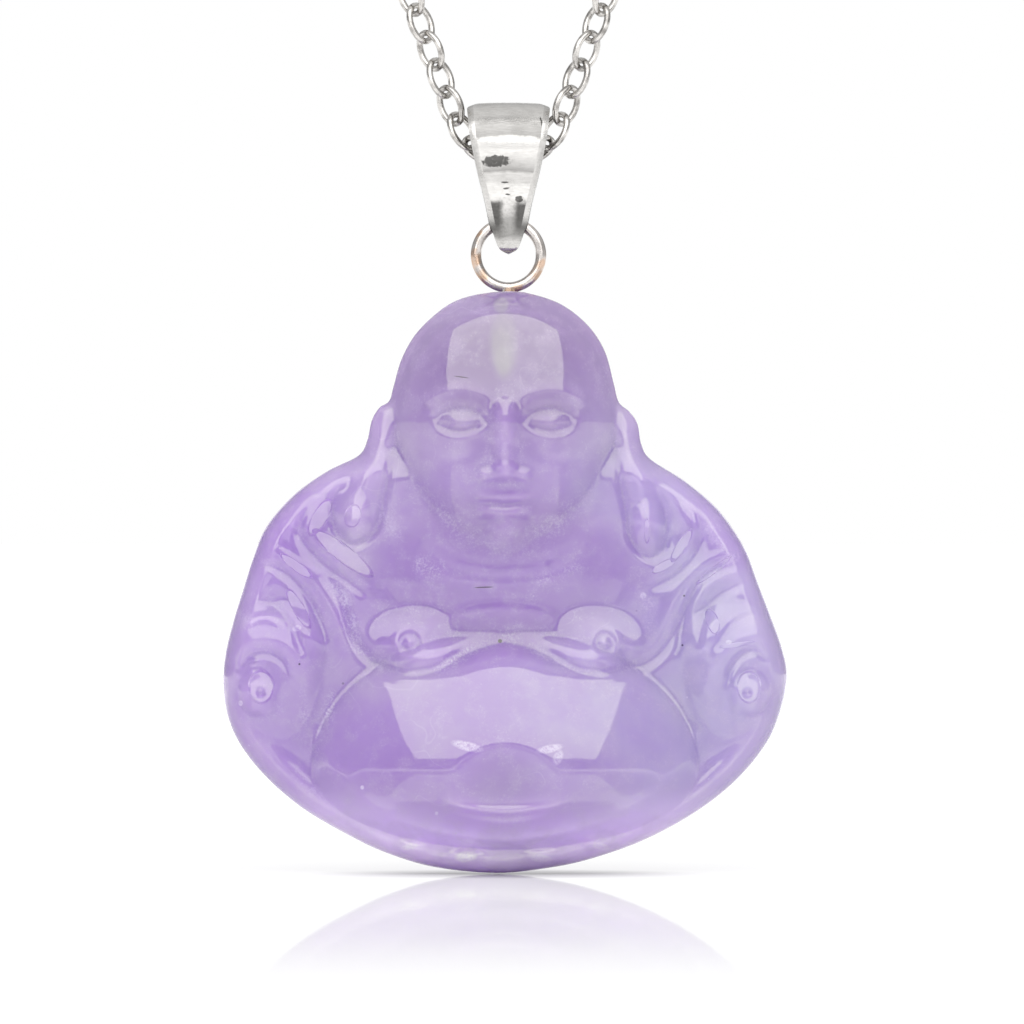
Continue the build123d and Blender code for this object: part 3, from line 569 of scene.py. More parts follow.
stone = {
    "width": 33.2, "height": 34.198, "depth": 7.398, "shift": -0.2, "back": 2.0, "backRound": 0.7,
    "rimHeight": 1.6, "headRimHeight": 3.1, "headRimReach": 0.30, "rimChange": 0.16, "rimShoulder": 0.7,
    "rimRoll": 1.1, "crease": 0.16, "foot": 0.04, "fade": 0.34, "rows": 281, "crowding": 0.40,
    "nippleRing": 0.80, "nippleRise": 0.10, "middle": (0.0, 0.62),
    "bodyMiddle": (0.0, 0.68), "bodyReach": (0.95, 0.36), "bodyLevels": (0.41, 0.46),
    "thinReach": 3.2,
    # once round from the crown down the left side: across as a share of half the width, down of the height
    "outline": [
        (0.000, 0.000), (-0.124, 0.008),
        (-0.213, 0.027), (-0.309, 0.069), (-0.365, 0.115), (-0.394, 0.162),
        (-0.410, 0.188), (-0.445, 0.200),
        (-0.472, 0.222), (-0.488, 0.256), (-0.520, 0.282), (-0.631, 0.309),
        (-0.748, 0.349), (-0.844, 0.402),
        (-0.892, 0.455), (-0.930, 0.513), (-0.966, 0.570), (-0.991, 0.620),
        (-1.000, 0.672), (-0.984, 0.730),
        (-0.936, 0.782), (-0.844, 0.837), (-0.720, 0.888), (-0.574, 0.930),
        (-0.429, 0.964), (-0.250, 0.990), (-0.030, 1.000), (0.160, 0.991), (0.310, 0.975), (0.489, 0.944),
        (0.670, 0.897), (0.816, 0.842), (0.924, 0.779), (0.975, 0.723), (1.000, 0.662), (0.980, 0.610),
        (0.940, 0.556), (0.896, 0.500), (0.856, 0.448), (0.805, 0.406), (0.740, 0.367), (0.635, 0.325),
        (0.515, 0.288), (0.482, 0.262), (0.468, 0.227), (0.438, 0.206), (0.402, 0.190), (0.384, 0.157),
        (0.353, 0.103), (0.294, 0.059), (0.201, 0.023), (0.090, 0.004),
    ],
    # rounded masses: across, down, half width, reach above and below, top and base as shares of the depth,
    # and a fullness, 1 for a parabola and less for a flatter top
    "domes": [
        (0.000, 0.325, 0.727, 0.086, 0.351, 0.610, 0.320, 0.450),
        (0.000, 0.821, 0.688, 0.244, 0.138, 1.000, 0.500, 1.000),
        (-0.741, 0.394, 0.234, 0.114, 0.258, 0.520, 0.320, 0.450),
        (0.720, 0.394, 0.234, 0.114, 0.258, 0.520, 0.320, 0.450),
        (-0.805, 0.601, 0.213, 0.086, 0.207, 0.600, 0.320, 0.450),
        (0.798, 0.601, 0.213, 0.086, 0.207, 0.600, 0.320, 0.450),
        (-0.865, 0.687, 0.082, 0.046, 0.046, 0.620, 0.460, 0.450),
        (0.858, 0.687, 0.082, 0.046, 0.046, 0.620, 0.460, 0.450),
    ],
    # soft swellings and hollows: across, down, half width, half height, rise
    "swells": [
        (0.000, 0.852, 0.206, 0.086, -0.085), (-0.312, 0.609, 0.199, 0.077, 0.100),
        (0.309, 0.609, 0.199, 0.077, 0.100), (-0.535, 0.387, 0.085, 0.052, 0.045),
        (0.504, 0.404, 0.078, 0.052, 0.045), (-0.138, 0.971, 0.078, 0.019, 0.050),
        (-0.330, 0.955, 0.071, 0.021, 0.040), (0.124, 0.967, 0.078, 0.019, 0.040),
        (0.337, 0.948, 0.071, 0.021, 0.040),
    ],
    # folds and creases: width, rise, then the points that they run through
    "folds": [
        (0.043, 0.036, [(-0.422, 0.208), (-0.447, 0.270), (-0.493, 0.329), (-0.528, 0.380), (-0.535, 0.418)]),
        (0.043, 0.036, [(0.415, 0.208), (0.443, 0.270), (0.479, 0.329), (0.500, 0.386), (0.507, 0.429)]),
        (0.050, 0.012, [(-0.564, 0.298), (-0.628, 0.356), (-0.667, 0.408), (-0.606, 0.448), (-0.532, 0.477),
                        (-0.436, 0.511)]),
        (0.035, 0.012, [(0.550, 0.308), (0.613, 0.363), (0.642, 0.408), (0.621, 0.448), (0.560, 0.475),
                        (0.472, 0.492)]),
        (0.039, 0.008, [(-0.301, 0.437), (-0.177, 0.475), (0.000, 0.487), (0.177, 0.475), (0.294, 0.441)]),
        (0.032, 0.010, [(-0.876, 0.434), (-0.794, 0.453), (-0.723, 0.477), (-0.660, 0.508), (-0.613, 0.542),
                        (-0.585, 0.583), (-0.557, 0.628)]),
        (0.039, 0.012, [(-0.819, 0.491), (-0.755, 0.522), (-0.713, 0.554), (-0.684, 0.594), (-0.663, 0.639)]),
        (0.032, 0.018, [(-0.968, 0.632), (-0.926, 0.608), (-0.862, 0.596), (-0.798, 0.601), (-0.745, 0.621),
                        (-0.713, 0.656), (-0.699, 0.694)]),
        (0.032, 0.010, [(0.862, 0.442), (0.755, 0.458), (0.667, 0.482), (0.606, 0.522), (0.578, 0.570),
                        (0.550, 0.621)]),
        (0.039, 0.012, [(0.862, 0.511), (0.787, 0.532), (0.738, 0.563), (0.713, 0.604), (0.691, 0.649)]),
        (0.032, 0.018, [(0.940, 0.601), (0.876, 0.589), (0.812, 0.602), (0.762, 0.625), (0.730, 0.656),
                        (0.716, 0.701)]),
        (0.032, 0.010, [(-0.879, 0.756), (-0.759, 0.824), (-0.599, 0.885), (-0.401, 0.929)]),
        (0.032, 0.010, [(0.879, 0.756), (0.759, 0.824), (0.599, 0.885), (0.401, 0.929)]),
        (0.032, 0.016, [(-0.681, 0.740), (-0.599, 0.819), (-0.401, 0.900), (0.000, 0.941), (0.401, 0.900),
                        (0.599, 0.819), (0.681, 0.740)]),
        (0.032, 0.025, [(-0.241, 0.867), (-0.018, 0.890), (0.241, 0.871)]),
    ],
    # narrow creases and edges, as the folds
    "fineFolds": [
        (0.021, 0.012, [(-0.209, 0.565), (-0.106, 0.551), (-0.007, 0.546), (0.096, 0.551), (0.195, 0.563)]),
        (0.014, -0.021, [(-0.401, 0.256), (-0.415, 0.317), (-0.433, 0.368), (-0.457, 0.411), (-0.528, 0.434),
                        (-0.592, 0.415), (-0.610, 0.368), (-0.582, 0.325)]),
        (0.014, -0.021, [(0.394, 0.256), (0.404, 0.317), (0.426, 0.377), (0.447, 0.429), (0.507, 0.456),
                        (0.564, 0.437), (0.567, 0.386), (0.532, 0.334)]),
        (0.018, -0.021, [(-0.649, 0.332), (-0.727, 0.406), (-0.663, 0.458), (-0.574, 0.491),
                        (-0.486, 0.522)]),
        (0.018, -0.018, [(0.674, 0.368), (0.695, 0.415), (0.663, 0.458), (0.585, 0.492), (0.500, 0.511)]),
        (0.028, 0.008, [(-0.287, 0.473), (-0.177, 0.496), (0.000, 0.506), (0.152, 0.496), (0.273, 0.473)]),
        (0.018, -0.024, [(-0.642, 0.480), (-0.574, 0.525), (-0.550, 0.563), (-0.518, 0.606), (-0.450, 0.637),
                        (-0.355, 0.649)]),
        (0.018, -0.020, [(0.628, 0.532), (0.592, 0.580), (0.550, 0.618), (0.479, 0.642), (0.372, 0.652)]),
        (0.014, -0.018, [(-0.890, 0.468), (-0.816, 0.473), (-0.755, 0.492), (-0.699, 0.523), (-0.663, 0.558),
                        (-0.635, 0.604)]),
        (0.014, -0.014, [(-0.862, 0.528), (-0.791, 0.549), (-0.745, 0.583), (-0.716, 0.627)]),
        (0.018, 0.018, [(-0.954, 0.590), (-0.904, 0.568), (-0.840, 0.561), (-0.770, 0.577)]),
        (0.014, -0.022, [(-0.947, 0.656), (-0.904, 0.628), (-0.848, 0.620), (-0.791, 0.632),
                        (-0.755, 0.663)]),
        (0.014, -0.018, [(0.840, 0.463), (0.748, 0.477), (0.684, 0.501), (0.642, 0.535), (0.621, 0.583),
                        (0.599, 0.628)]),
        (0.014, 0.014, [(0.833, 0.480), (0.770, 0.491), (0.706, 0.511), (0.670, 0.546), (0.656, 0.594)]),
        (0.014, -0.016, [(0.862, 0.497), (0.791, 0.511), (0.730, 0.535), (0.695, 0.573), (0.681, 0.614)]),
        (0.014, -0.014, [(0.890, 0.552), (0.826, 0.563), (0.784, 0.583), (0.748, 0.618)]),
        (0.014, -0.022, [(0.933, 0.632), (0.876, 0.616), (0.826, 0.628), (0.791, 0.652), (0.777, 0.683)]),
        (0.032, -0.050, [(-0.472, 0.627), (-0.390, 0.649), (-0.255, 0.647), (-0.117, 0.618), (0.000, 0.604),
                        (0.117, 0.618), (0.255, 0.647), (0.379, 0.649), (0.457, 0.627)]),
        (0.014, 0.018, [(-0.241, 0.869), (-0.142, 0.883), (-0.018, 0.890), (0.124, 0.885), (0.241, 0.873)]),
        (0.014, 0.015, [(-0.199, 0.890), (-0.106, 0.904), (-0.007, 0.910), (0.089, 0.905), (0.167, 0.892)]),
        (0.014, 0.015, [(-0.394, 0.904), (-0.230, 0.928), (-0.018, 0.941), (0.195, 0.929), (0.365, 0.904)]),
    ],
    "pits": [
        (-0.862, 0.690, 0.025, 0.012, -0.035), (0.855, 0.690, 0.025, 0.012, -0.035),
    ],
    # bands of fine frosting, as the folds, with strength instead of rise
    "frost": [
        (0.025, 1.000, [(-0.624, 0.489), (-0.574, 0.522), (-0.553, 0.559), (-0.528, 0.602), (-0.454, 0.633)]),
        (0.014, 0.800, [(-0.716, 0.676), (-0.713, 0.709), (-0.709, 0.742)]),
        (0.014, 0.900, [(-0.638, 0.742), (-0.617, 0.707), (-0.603, 0.676)]),
        (0.032, 0.800, [(-0.330, 0.463), (-0.266, 0.477), (-0.202, 0.470)]),
        (0.018, 0.700, [(-0.266, 0.652), (-0.177, 0.632), (-0.096, 0.608)]),
        (0.018, 0.700, [(0.691, 0.497), (0.762, 0.470), (0.855, 0.446)]),
        (0.018, 0.600, [(0.089, 0.497), (0.181, 0.487), (0.273, 0.466)]),
        (0.018, 0.600, [(-0.770, 0.800), (-0.709, 0.845), (-0.599, 0.886)]),
        (0.021, 0.600, [(-0.429, 0.373), (-0.415, 0.398), (-0.379, 0.422)]),
        (0.025, 0.600, [(0.479, 0.515), (0.514, 0.549), (0.500, 0.601)]),
        (0.021, 0.500, [(-0.954, 0.532), (-0.926, 0.559), (-0.862, 0.577)]),
        (0.028, 0.500, [(-0.124, 0.897), (-0.011, 0.910), (0.110, 0.897)]),
        (0.021, 0.500, [(0.124, 0.966), (0.301, 0.952), (0.479, 0.924)]),
        (0.018, 0.500, [(0.691, 0.394), (0.748, 0.429), (0.798, 0.463)]),
    ],
    # nipples: across, down
    "nipples": [
        (-0.337, 0.602), (0.351, 0.602),
    ],
}
head = {
    "dome": (0.00, 0.222, 0.43, 0.243, 0.243, 0.86, 0.22, 0.45),
    # as above, in shares of half the head's width and height, measured up from its middle
    "swells": [
        (0.00, -0.36, 0.15, 0.11, 0.060), (0.00, -0.80, 0.24, 0.13, 0.045),
    ],
    "pairedSwells": [
        (0.37, 0.02, 0.26, 0.13, -0.050), (0.37, 0.00, 0.20, 0.095, 0.050),
        (0.15, -0.39, 0.10, 0.07, 0.034),
        (0.44, -0.40, 0.34, 0.28, 0.020),
    ],
    "folds": [
        (0.080, 0.060, [(0.00, 0.18), (0.00, 0.04), (0.00, -0.14), (0.00, -0.34)]),
        (0.055, 0.026, [(-0.27, -0.56), (-0.10, -0.545), (0.00, -0.552), (0.10, -0.545), (0.27, -0.56)]),
        (0.060, 0.030, [(-0.23, -0.61), (-0.10, -0.645), (0.00, -0.652), (0.10, -0.645), (0.23, -0.61)]),
        (0.030, -0.026, [(-0.29, -0.575), (-0.12, -0.592), (0.00, -0.597), (0.12, -0.592), (0.29, -0.575)]),
    ],
    "pairedFolds": [
        (0.070, 0.020, [(0.10, 0.14), (0.22, 0.20), (0.38, 0.23), (0.54, 0.20), (0.68, 0.12)]),
        (0.030, -0.020, [(0.20, -0.02), (0.28, -0.055), (0.38, -0.070), (0.48, -0.055), (0.56, -0.02)]),
    ],
}
jade = {
    # crown is painted shade for the top, low painted light for the bottom, pale also the painted light along
    # the rim, clear the painted glints and pale spots, deep the deepest colour and painted shade on the
    # shoulders
    "purple": tint(154, 126, 187), "blue": tint(160, 147, 191), "pale": tint(171, 156, 190),
    "frost": tint(192, 180, 210), "crown": tint(128, 104, 152), "low": tint(220, 196, 246),
    "clear": tint(222, 216, 230), "peg": tint(166, 168, 164), "deep": tint(140, 106, 176),
    "speck": tint(62, 36, 84), "gloss": (0.90, 1.0, 0.62, 1.0),
    # the marks: across, up, half width, half height, turn and strength
    # the deepest colour, on the chest and lower belly, and painted shade on the shoulders
    "deepColourAndShadeMarks": [
        (-0.4, -25.2, 9.0, 5.5, 0.0, 0.60), (-12.9, -22.9, 3.6, 2.6, 35.0, 0.40),
        (12.5, -22.9, 3.2, 2.4, -35.0, 0.35),
        (-0.3, -37.6, 8.5, 3.6, 0.0, 0.35),
    ],
    # the peg seen through the stone
    "pegMarks": [
        (-0.45, -9.65, 0.50, 0.55, 0.0, 0.34), (-0.28, -12.0, 0.95, 2.30, 1.0, 0.20),
        (-0.32, -12.4, 0.70, 1.60, 2.0, 0.16),
        (-0.34, -12.9, 0.50, 1.00, 3.0, 0.12),
    ],
    # painted highlights: glints by the navel and along the bottom; and pale spots
    "glintAndPaleSpotMarks": [
        (-2.40, -35.45, 1.00, 0.30, -14.0, 0.50), (2.40, -35.60, 0.85, 0.26, 12.0, 0.45),
        (2.9, -36.1, 0.30, 0.50, -20.0, 0.36),
        (-2.5, -42.0, 0.75, 0.36, 8.0, 0.75),
        (-5.8, -41.4, 0.6, 0.22, 15.0, 0.45), (1.9, -42.1, 0.7, 0.28, -6.0, 0.45),
        (5.4, -41.4, 0.6, 0.25, -14.0, 0.40),
        (-15.7, -33.0, 0.15, 0.18, 0.0, 0.45), (-8.55, -37.9, 0.13, 0.14, 0.0, 0.45),
        (-4.2, -39.4, 0.12, 0.13, 0.0, 0.40),
        (7.9, -26.7, 0.20, 0.22, 0.0, 0.32), (12.9, -29.4, 0.20, 0.14, 0.0, 0.30),
        (-12.4, -28.6, 0.30, 0.20, 20.0, 0.32),
    ],
    # flats that lean back and catch the light: their slope, then rows as above without a strength
    "flatSlope": 0.28,
    "flats": [
        (-9.12, -22.02, 0.50, 0.72, -14.0), (-11.05, -22.10, 1.25, 0.46, 60.0),
        (-9.70, -24.20, 2.30, 0.52, -38.0),
        (-12.45, -24.95, 1.20, 0.28, -37.0), (-12.30, -27.45, 1.40, 0.36, -60.0),
        (-14.50, -32.05, 0.78, 1.02, 0.0),
        (8.12, -22.90, 0.17, 0.75, 0.0), (10.15, -23.75, 1.15, 0.30, 58.0),
        (9.10, -24.95, 0.80, 0.26, 30.0), (12.05, -25.20, 1.35, 0.18, 38.0),
        (11.95, -28.20, 0.38, 0.80, 18.0),
        (13.40, -29.55, 1.10, 0.17, 8.0), (14.10, -32.05, 0.74, 0.98, 0.0),
    ],
    # dark hairs and specks
    "darkMarks": [
        (-2.75, -13.9, 0.50, 0.045, -8.0, 0.80), (-1.45, -26.2, 0.62, 0.045, 2.0, 0.95),
        (-0.50, -29.35, 0.14, 0.13, 0.0, 0.95),
        (-12.25, -30.7, 0.07, 0.07, 0.0, 0.90), (10.3, -26.7, 0.07, 0.07, 0.0, 0.80),
        (10.2, -29.6, 0.07, 0.07, 0.0, 0.80),
    ],
}
halfWidth = stone["width"] / 2
stoneTop = -eyeRing["drop"] - eyeRing["diameter"] / 2 + eyeRing["seat"]


def onStone(across, down):
    # from shares of the stone to X and Z
    return stone["shift"] + across * halfWidth, stoneTop - down * stone["height"]


def onHead(across, up):
    # from shares of the head to X and Z
    middle = onStone(*head["dome"][:2])
    wide, tall = head["dome"][2] * halfWidth, head["dome"][3] * stone["height"]
    return middle[0] + across * wide, middle[1] + up * tall


def distanceTo(path, x, z):
    # distance of each point to a path, and how far along it the nearest point lies, from 0 to 1
    nearest, along = np.full(x.shape, 1e9), np.zeros(x.shape)
    spans = len(path) - 1
    for index, (start, end) in enumerate(zip(path[:-1], path[1:])):
        run = end - start
        share = np.clip(((x - start[0]) * run[0] + (z - start[1]) * run[1]) / (run @ run), 0, 1)
        gap = np.hypot(x - start[0] - share * run[0], z - start[1] - share * run[1])
        along = np.where(gap < nearest, (index + share) / spans, along)
        nearest = np.minimum(nearest, gap)
    return nearest, along


def smoothMax(first, second, blend):
    # the higher of two surfaces, with the crease between them eased
    return 0.5 * (first + second + np.sqrt((first - second) ** 2 + blend**2))


def domeHeight(row, x, z):
    # t to the power of the fullness, times one minus a falling exponential of t that eases the foot
    across, down, wide, above, below, top, base, fullness = row
    middle = onStone(across, down)
    tall = np.where(z > middle[1], above, below) * stone["height"]
    ratio = ((x - middle[0]) / (wide * halfWidth)) ** 2 + ((z - middle[1]) / tall) ** 2
    inside = np.clip(1 - ratio, 0, 1)
    cap = inside ** fullness * (1 - np.exp(-inside / stone["foot"]))
    return stone["depth"] * (base + (top - base) * cap)


def swellHeight(row, x, z, place, reach):
    # a round swelling that fades out at its edge: the square of one minus the squared distance
    across, down, wide, tall, rise = row
    middle = place(across, down)
    ratio = ((x - middle[0]) / (wide * reach[0])) ** 2 + ((z - middle[1]) / (tall * reach[1])) ** 2
    return stone["depth"] * rise * np.clip(1 - ratio, 0, 1) ** 2


def alongCurve(row, x, z, place, reach):
    # a bell section along a curve, fading at its ends
    width, rise, points = row
    route = curveThrough([place(*point) for point in points], False, 6)
    size = width * reach
    low, high = route.min(axis=0) - 3 * size, route.max(axis=0) + 3 * size
    near = (x > low[0]) & (x < high[0]) & (z > low[1]) & (z < high[1])
    height = np.zeros(x.shape)
    gap, along = distanceTo(route, x[near], z[near])
    fade = np.clip(np.minimum(along, 1 - along) / stone["fade"], 0, 1)
    height[near] = rise * np.exp(-((gap / size) ** 2)) * fade * (2 - fade)
    return height


def nippleHeight(middle, x, z):
    # a small bump in a ringed hollow: a bell, less a bell-shaped ring, plus a wider one
    gap = np.hypot(x - middle[0], z - middle[1])
    ring, width = stone["nippleRing"], stone["nippleRing"] * 0.22
    bells = [np.exp(-(((gap - share * ring) / width) ** 2)) for share in (0.0, 0.62, 1.0)]
    return stone["nippleRise"] * (1.4 * bells[0] - 0.7 * bells[1] + 0.6 * bells[2])


def bothSides(rows, swell):
    # the rows and their mirror images
    if swell:
        return rows + [(-row[0], *row[1:]) for row in rows]
    return rows + [(width, rise, [(-across, up) for across, up in points]) for width, rise, points in rows]


def carvingHeight(x, z):
    # height of the carved front above the flat back
    middle = onStone(*stone["bodyMiddle"])
    wide, tall = stone["bodyReach"][0] * halfWidth, stone["bodyReach"][1] * stone["height"]
    ratio = ((x - middle[0]) / wide) ** 2 + ((z - middle[1]) / tall) ** 2
    low, high = stone["bodyLevels"]
    height = stone["depth"] * (low + (high - low) * np.clip(1 - ratio, 0, 1))
    for row in stone["domes"]:
        height = smoothMax(height, domeHeight(row, x, z), stone["crease"])
    for row in stone["swells"] + stone["pits"]:
        height += swellHeight(row, x, z, onStone, (halfWidth, stone["height"]))
    for row in stone["folds"] + stone["fineFolds"]:
        height += stone["depth"] * alongCurve(row, x, z, onStone, halfWidth)
    for across, down in stone["nipples"]:
        height += nippleHeight(onStone(across, down), x, z)
    height = smoothMax(height, domeHeight(head["dome"], x, z), stone["crease"])
    size = head["dome"][2] * halfWidth, head["dome"][3] * stone["height"]
    for row in head["swells"] + bothSides(head["pairedSwells"], True):
        height += swellHeight(row, x, z, onHead, size)
    for row in head["folds"] + bothSides(head["pairedFolds"], False):
        height += stone["depth"] * alongCurve(row, x, z, onHead, size[0])
    return height


def stoneGrid():
    # a square bent into a disc and the disc stretched to the outline, with each point's way in from the rim
    rim = curveThrough([onStone(*point) for point in stone["outline"]], True, 12)
    middle = np.array(onStone(*stone["middle"]))
    even = np.linspace(-1, 1, stone["rows"])
    share = np.sin(even * stone["crowding"] * np.pi) / np.sin(stone["crowding"] * np.pi)
    across, up = np.meshgrid(share, share)
    discX, discZ = across * np.sqrt(1 - up**2 / 2), up * np.sqrt(1 - across**2 / 2)
    steps = rim - middle
    rimAngle = np.arctan2(steps[:, 1], steps[:, 0])
    order = np.argsort(rimAngle)
    reach = np.interp(np.arctan2(discZ, discX), rimAngle[order], np.hypot(*steps[order].T), period=2 * np.pi)
    x, z = middle[0] + discX * reach, middle[1] + discZ * reach
    inward, _ = distanceTo(np.vstack([rim, rim[:1]]), x, z)
    return x, z, inward


def roundTheRim(grid):
    # the outermost points of the grid, once round
    return np.concatenate([grid[0, :-1], grid[:-1, -1], grid[-1, :0:-1], grid[:0:-1, 0]])


def smoothField(values, passes):
    # each value with those beside it averaged in, several times over
    for _ in range(passes):
        padded = np.pad(values, 1, mode="edge")
        upright, level = padded[:-2, 1:-1] + padded[2:, 1:-1], padded[1:-1, :-2] + padded[1:-1, 2:]
        values = (upright + level + 2 * values) / 6
    return values


def makeStone():
    x, z, inward = stoneGrid()
    rows = stone["rows"]
    neck = stoneTop - stone["headRimReach"] * stone["height"]
    headShare = np.clip((z - neck) / (stone["rimChange"] * stone["height"]) + 0.5, 0, 1)
    rise = stone["headRimHeight"] - stone["rimHeight"]
    edge = stone["rimHeight"] + rise * headShare**2 * (3 - 2 * headShare)
    carved = smoothMax(carvingHeight(x, z), edge + stone["rimShoulder"], stone["crease"])
    roll = np.sqrt(1 - (1 - np.clip(inward / stone["rimRoll"], 0, 1)) ** 2)
    height = edge + (carved - edge) * roll
    front = np.stack([x, stone["back"] - height, z + boreZ], axis=-1)
    groove = np.clip((smoothField(height, 24) - smoothField(height, 2)) / 0.16, 0, 1)
    frost = 0.60 * groove + sum(alongCurve(row, x, z, onStone, halfWidth) for row in stone["frost"])
    rim = roundTheRim(front)
    middle = np.array(onStone(*stone["middle"])) + [0, boreZ]
    inwardSteps = middle - rim[:, (0, 2)]
    inwardSteps = inwardSteps / np.linalg.norm(inwardSteps, axis=1)[:, None]
    rings = []
    for turn, further in ((0, 0), (22.5, 0), (45, 0), (67.5, 0), (90, 0), (90, 0.4)):
        turn = np.radians(turn)
        moved = rim[:, (0, 2)] + inwardSteps * (stone["backRound"] * (1 - np.cos(turn)) + further)
        depth = np.full(len(rim), stone["back"] - stone["backRound"] * (1 - np.sin(turn)))
        rings.append(np.column_stack([moved[:, 0], depth, moved[:, 1]]))
    points = np.vstack([front.reshape(-1, 3), *rings])
    first, around = rows * rows, len(rim)
    number = np.arange(rows * rows).reshape(rows, rows)
    added = first + np.arange(len(rings) * around).reshape(-1, around)
    loops = np.vstack([roundTheRim(number), added])
    ahead = np.roll(loops, -1, axis=1)
    sides = np.stack([loops[:-1], loops[1:], ahead[1:], ahead[:-1]], axis=-1).reshape(-1, 4)
    # nearness to the rim, for the painted light along it
    rimLightShare = np.clip(1 - inward / stone["thinReach"], 0, 1)
    marks = {"frost": np.concatenate([np.clip(frost, 0, 1).ravel(), np.zeros(len(points) - first)]),
             "rimLightShare": np.concatenate([rimLightShare.ravel(), np.ones(len(points) - first)])}
    faces = [gridQuads(rows, rows, False, False), sides, [loops[-1].tolist()[::-1]]]
    makePiece("jadeFigure", points, faces, "pendant", "stone", jadePaint(), marks)


def jadePaint():
    # translucent lavender jade: clouds from purple to grey blue, frosted creases, pale veins and specks;
    # painted shade towards the crown, painted light towards the bottom and along the rim, and painted glints
    paint = Paint("lavenderJade")
    where = paint.spot()
    x, _, z = paint.axes(where)
    cloud = paint.noise(where, 6.0, 4.0, 0.55)
    fineCloud = paint.noise(where, 1.2, 5.0, 0.6)
    hue = paint.step(x + (cloud - 0.5) * 24.0, -5.0, 15.0)
    colour = paint.blend(hue, jade["purple"], jade["blue"])
    # painted shade: darker towards the top
    colour = paint.blend(paint.step(z, -22.0, -10.0), colour, jade["crown"])
    # painted light: lighter towards the bottom
    colour = paint.blend(paint.step(0 - z, 37.5, 41.5), colour, jade["low"])
    # painted light along the rim
    colour = paint.blend(paint.attribute("rimLightShare") * 0.35, colour, jade["pale"])
    colour = paint.blend(paint.step(cloud, 0.46, 0.72, 0.42), colour, jade["pale"])
    # the deepest colour, and painted shade on the shoulders
    colour = paint.blend(paint.marks(where, jade["deepColourAndShadeMarks"]), colour, jade["deep"])
    colour = paint.blend(paint.step(fineCloud, 0.42, 0.78, 0.34), colour, jade["pale"])
    grain = paint.noise(where, 0.16, 4.0, 0.75)
    mottle = paint.step(grain, 0.52, 0.66, 0.16) * paint.step(fineCloud, 0.45, 0.62)
    colour = paint.blend(mottle, colour, jade["frost"])
    frost = paint.attribute("frost") * paint.step(grain + (fineCloud - 0.5) * 0.5, 0.40, 0.68)
    colour = paint.blend(frost * 0.60, colour, jade["frost"])
    vein = paint.sum("ABSOLUTE", paint.noise(where, 4.0, 2.0, 0.5) - 0.5)
    veins = paint.step(vein, 0.008, 0.0, 0.12) * paint.step(cloud, 0.50, 0.62)
    colour = paint.blend(veins, colour, jade["frost"])
    for key, size, share in (("frost", 1.5, 0.80), ("speck", 1.9, 0.86)):
        cells = paint.add("TexVoronoi", inputs={"Vector": where, "Scale": 1 / size})
        drawn = paint.axes(Wire(paint, cells.socket.node.outputs["Color"]))[0]
        dot = paint.step(cells, 0.060, 0.015, 0.60) * paint.step(drawn, share, share + 0.03)
        colour = paint.blend(dot, colour, jade[key])
    for row in jade["pegMarks"]:
        colour = paint.blend(paint.mark(where, row[:5], row[5]), colour, jade["peg"])
    broken = paint.step(grain, 0.25, 0.60)
    # painted glints and pale spots
    colour = paint.blend(paint.marks(where, jade["glintAndPaleSpotMarks"]) * broken, colour, jade["clear"])
    colour = paint.blend(paint.marks(where, jade["darkMarks"]), colour, jade["speck"])
    roughness = 0.035 + frost * 0.25 + paint.step(fineCloud, 0.5, 0.8, 0.03)
    relief = (fineCloud + frost * 0.6) * 0.003
    for row in jade["flats"]:
        flat = paint.mark(where, row, jade["flatSlope"], 0.84, 1.0)
        relief = paint.sum("MULTIPLY_ADD", flat, row[1] - z, relief)
    bump = paint.add("Bump", inputs={"Strength": 1.0, "Distance": mm, "Height": relief})
    shader = paint.add("BsdfPrincipled", inputs={
        "Base Color": colour, "Roughness": roughness, "IOR": 1.85, "Specular Tint": jade["gloss"],
        "Subsurface Weight": 1.0, "Subsurface Radius": (1.0, 0.85, 1.15), "Subsurface Scale": 0.006,
        "Normal": bump})
    return paint.finish(shader)


makeStone()
print("stone made")


# Stage, light and camera

studio = {
    "floorGap": 0.05, "floorSize": 12000.0, "cameraDistance": 600.0, "pixelsPerMm": 17.0, "picture": 1024,
    "axisPixel": 508.5, "borePixel": 141.6,
    # the floor's own light near the object and beyond, where that zone lies, and its mirror share and reach
    "floorGlow": [(-140.0, 0.60), (-15.0, 0.95), (-4.0, 1.00), (4.0, 1.12)], "farGlow": 1.90,
    "glowZone": (45.0, 100.0, -70.0), "mirrorReach": (-145.0, -70.0), "floorMirror": 0.35,
    "floorRoughness": 0.02,
    # the shadow under the stone: half width, half depth and how dark
    "contact": (12.5, 9.0, 0.95),
    # the room that the object reflects: its front, sides, back, ceiling and the white screen behind
    "roomFront": 0.40, "roomSide": 0.65, "roomBack": 0.45, "roomTop": 0.30, "screen": 1.05,
    # width, height, distance, azimuth, elevation, brightness
    "softbox": (460.0, 333.0, 300.0, 0.0, 35.0, 2.0),
}


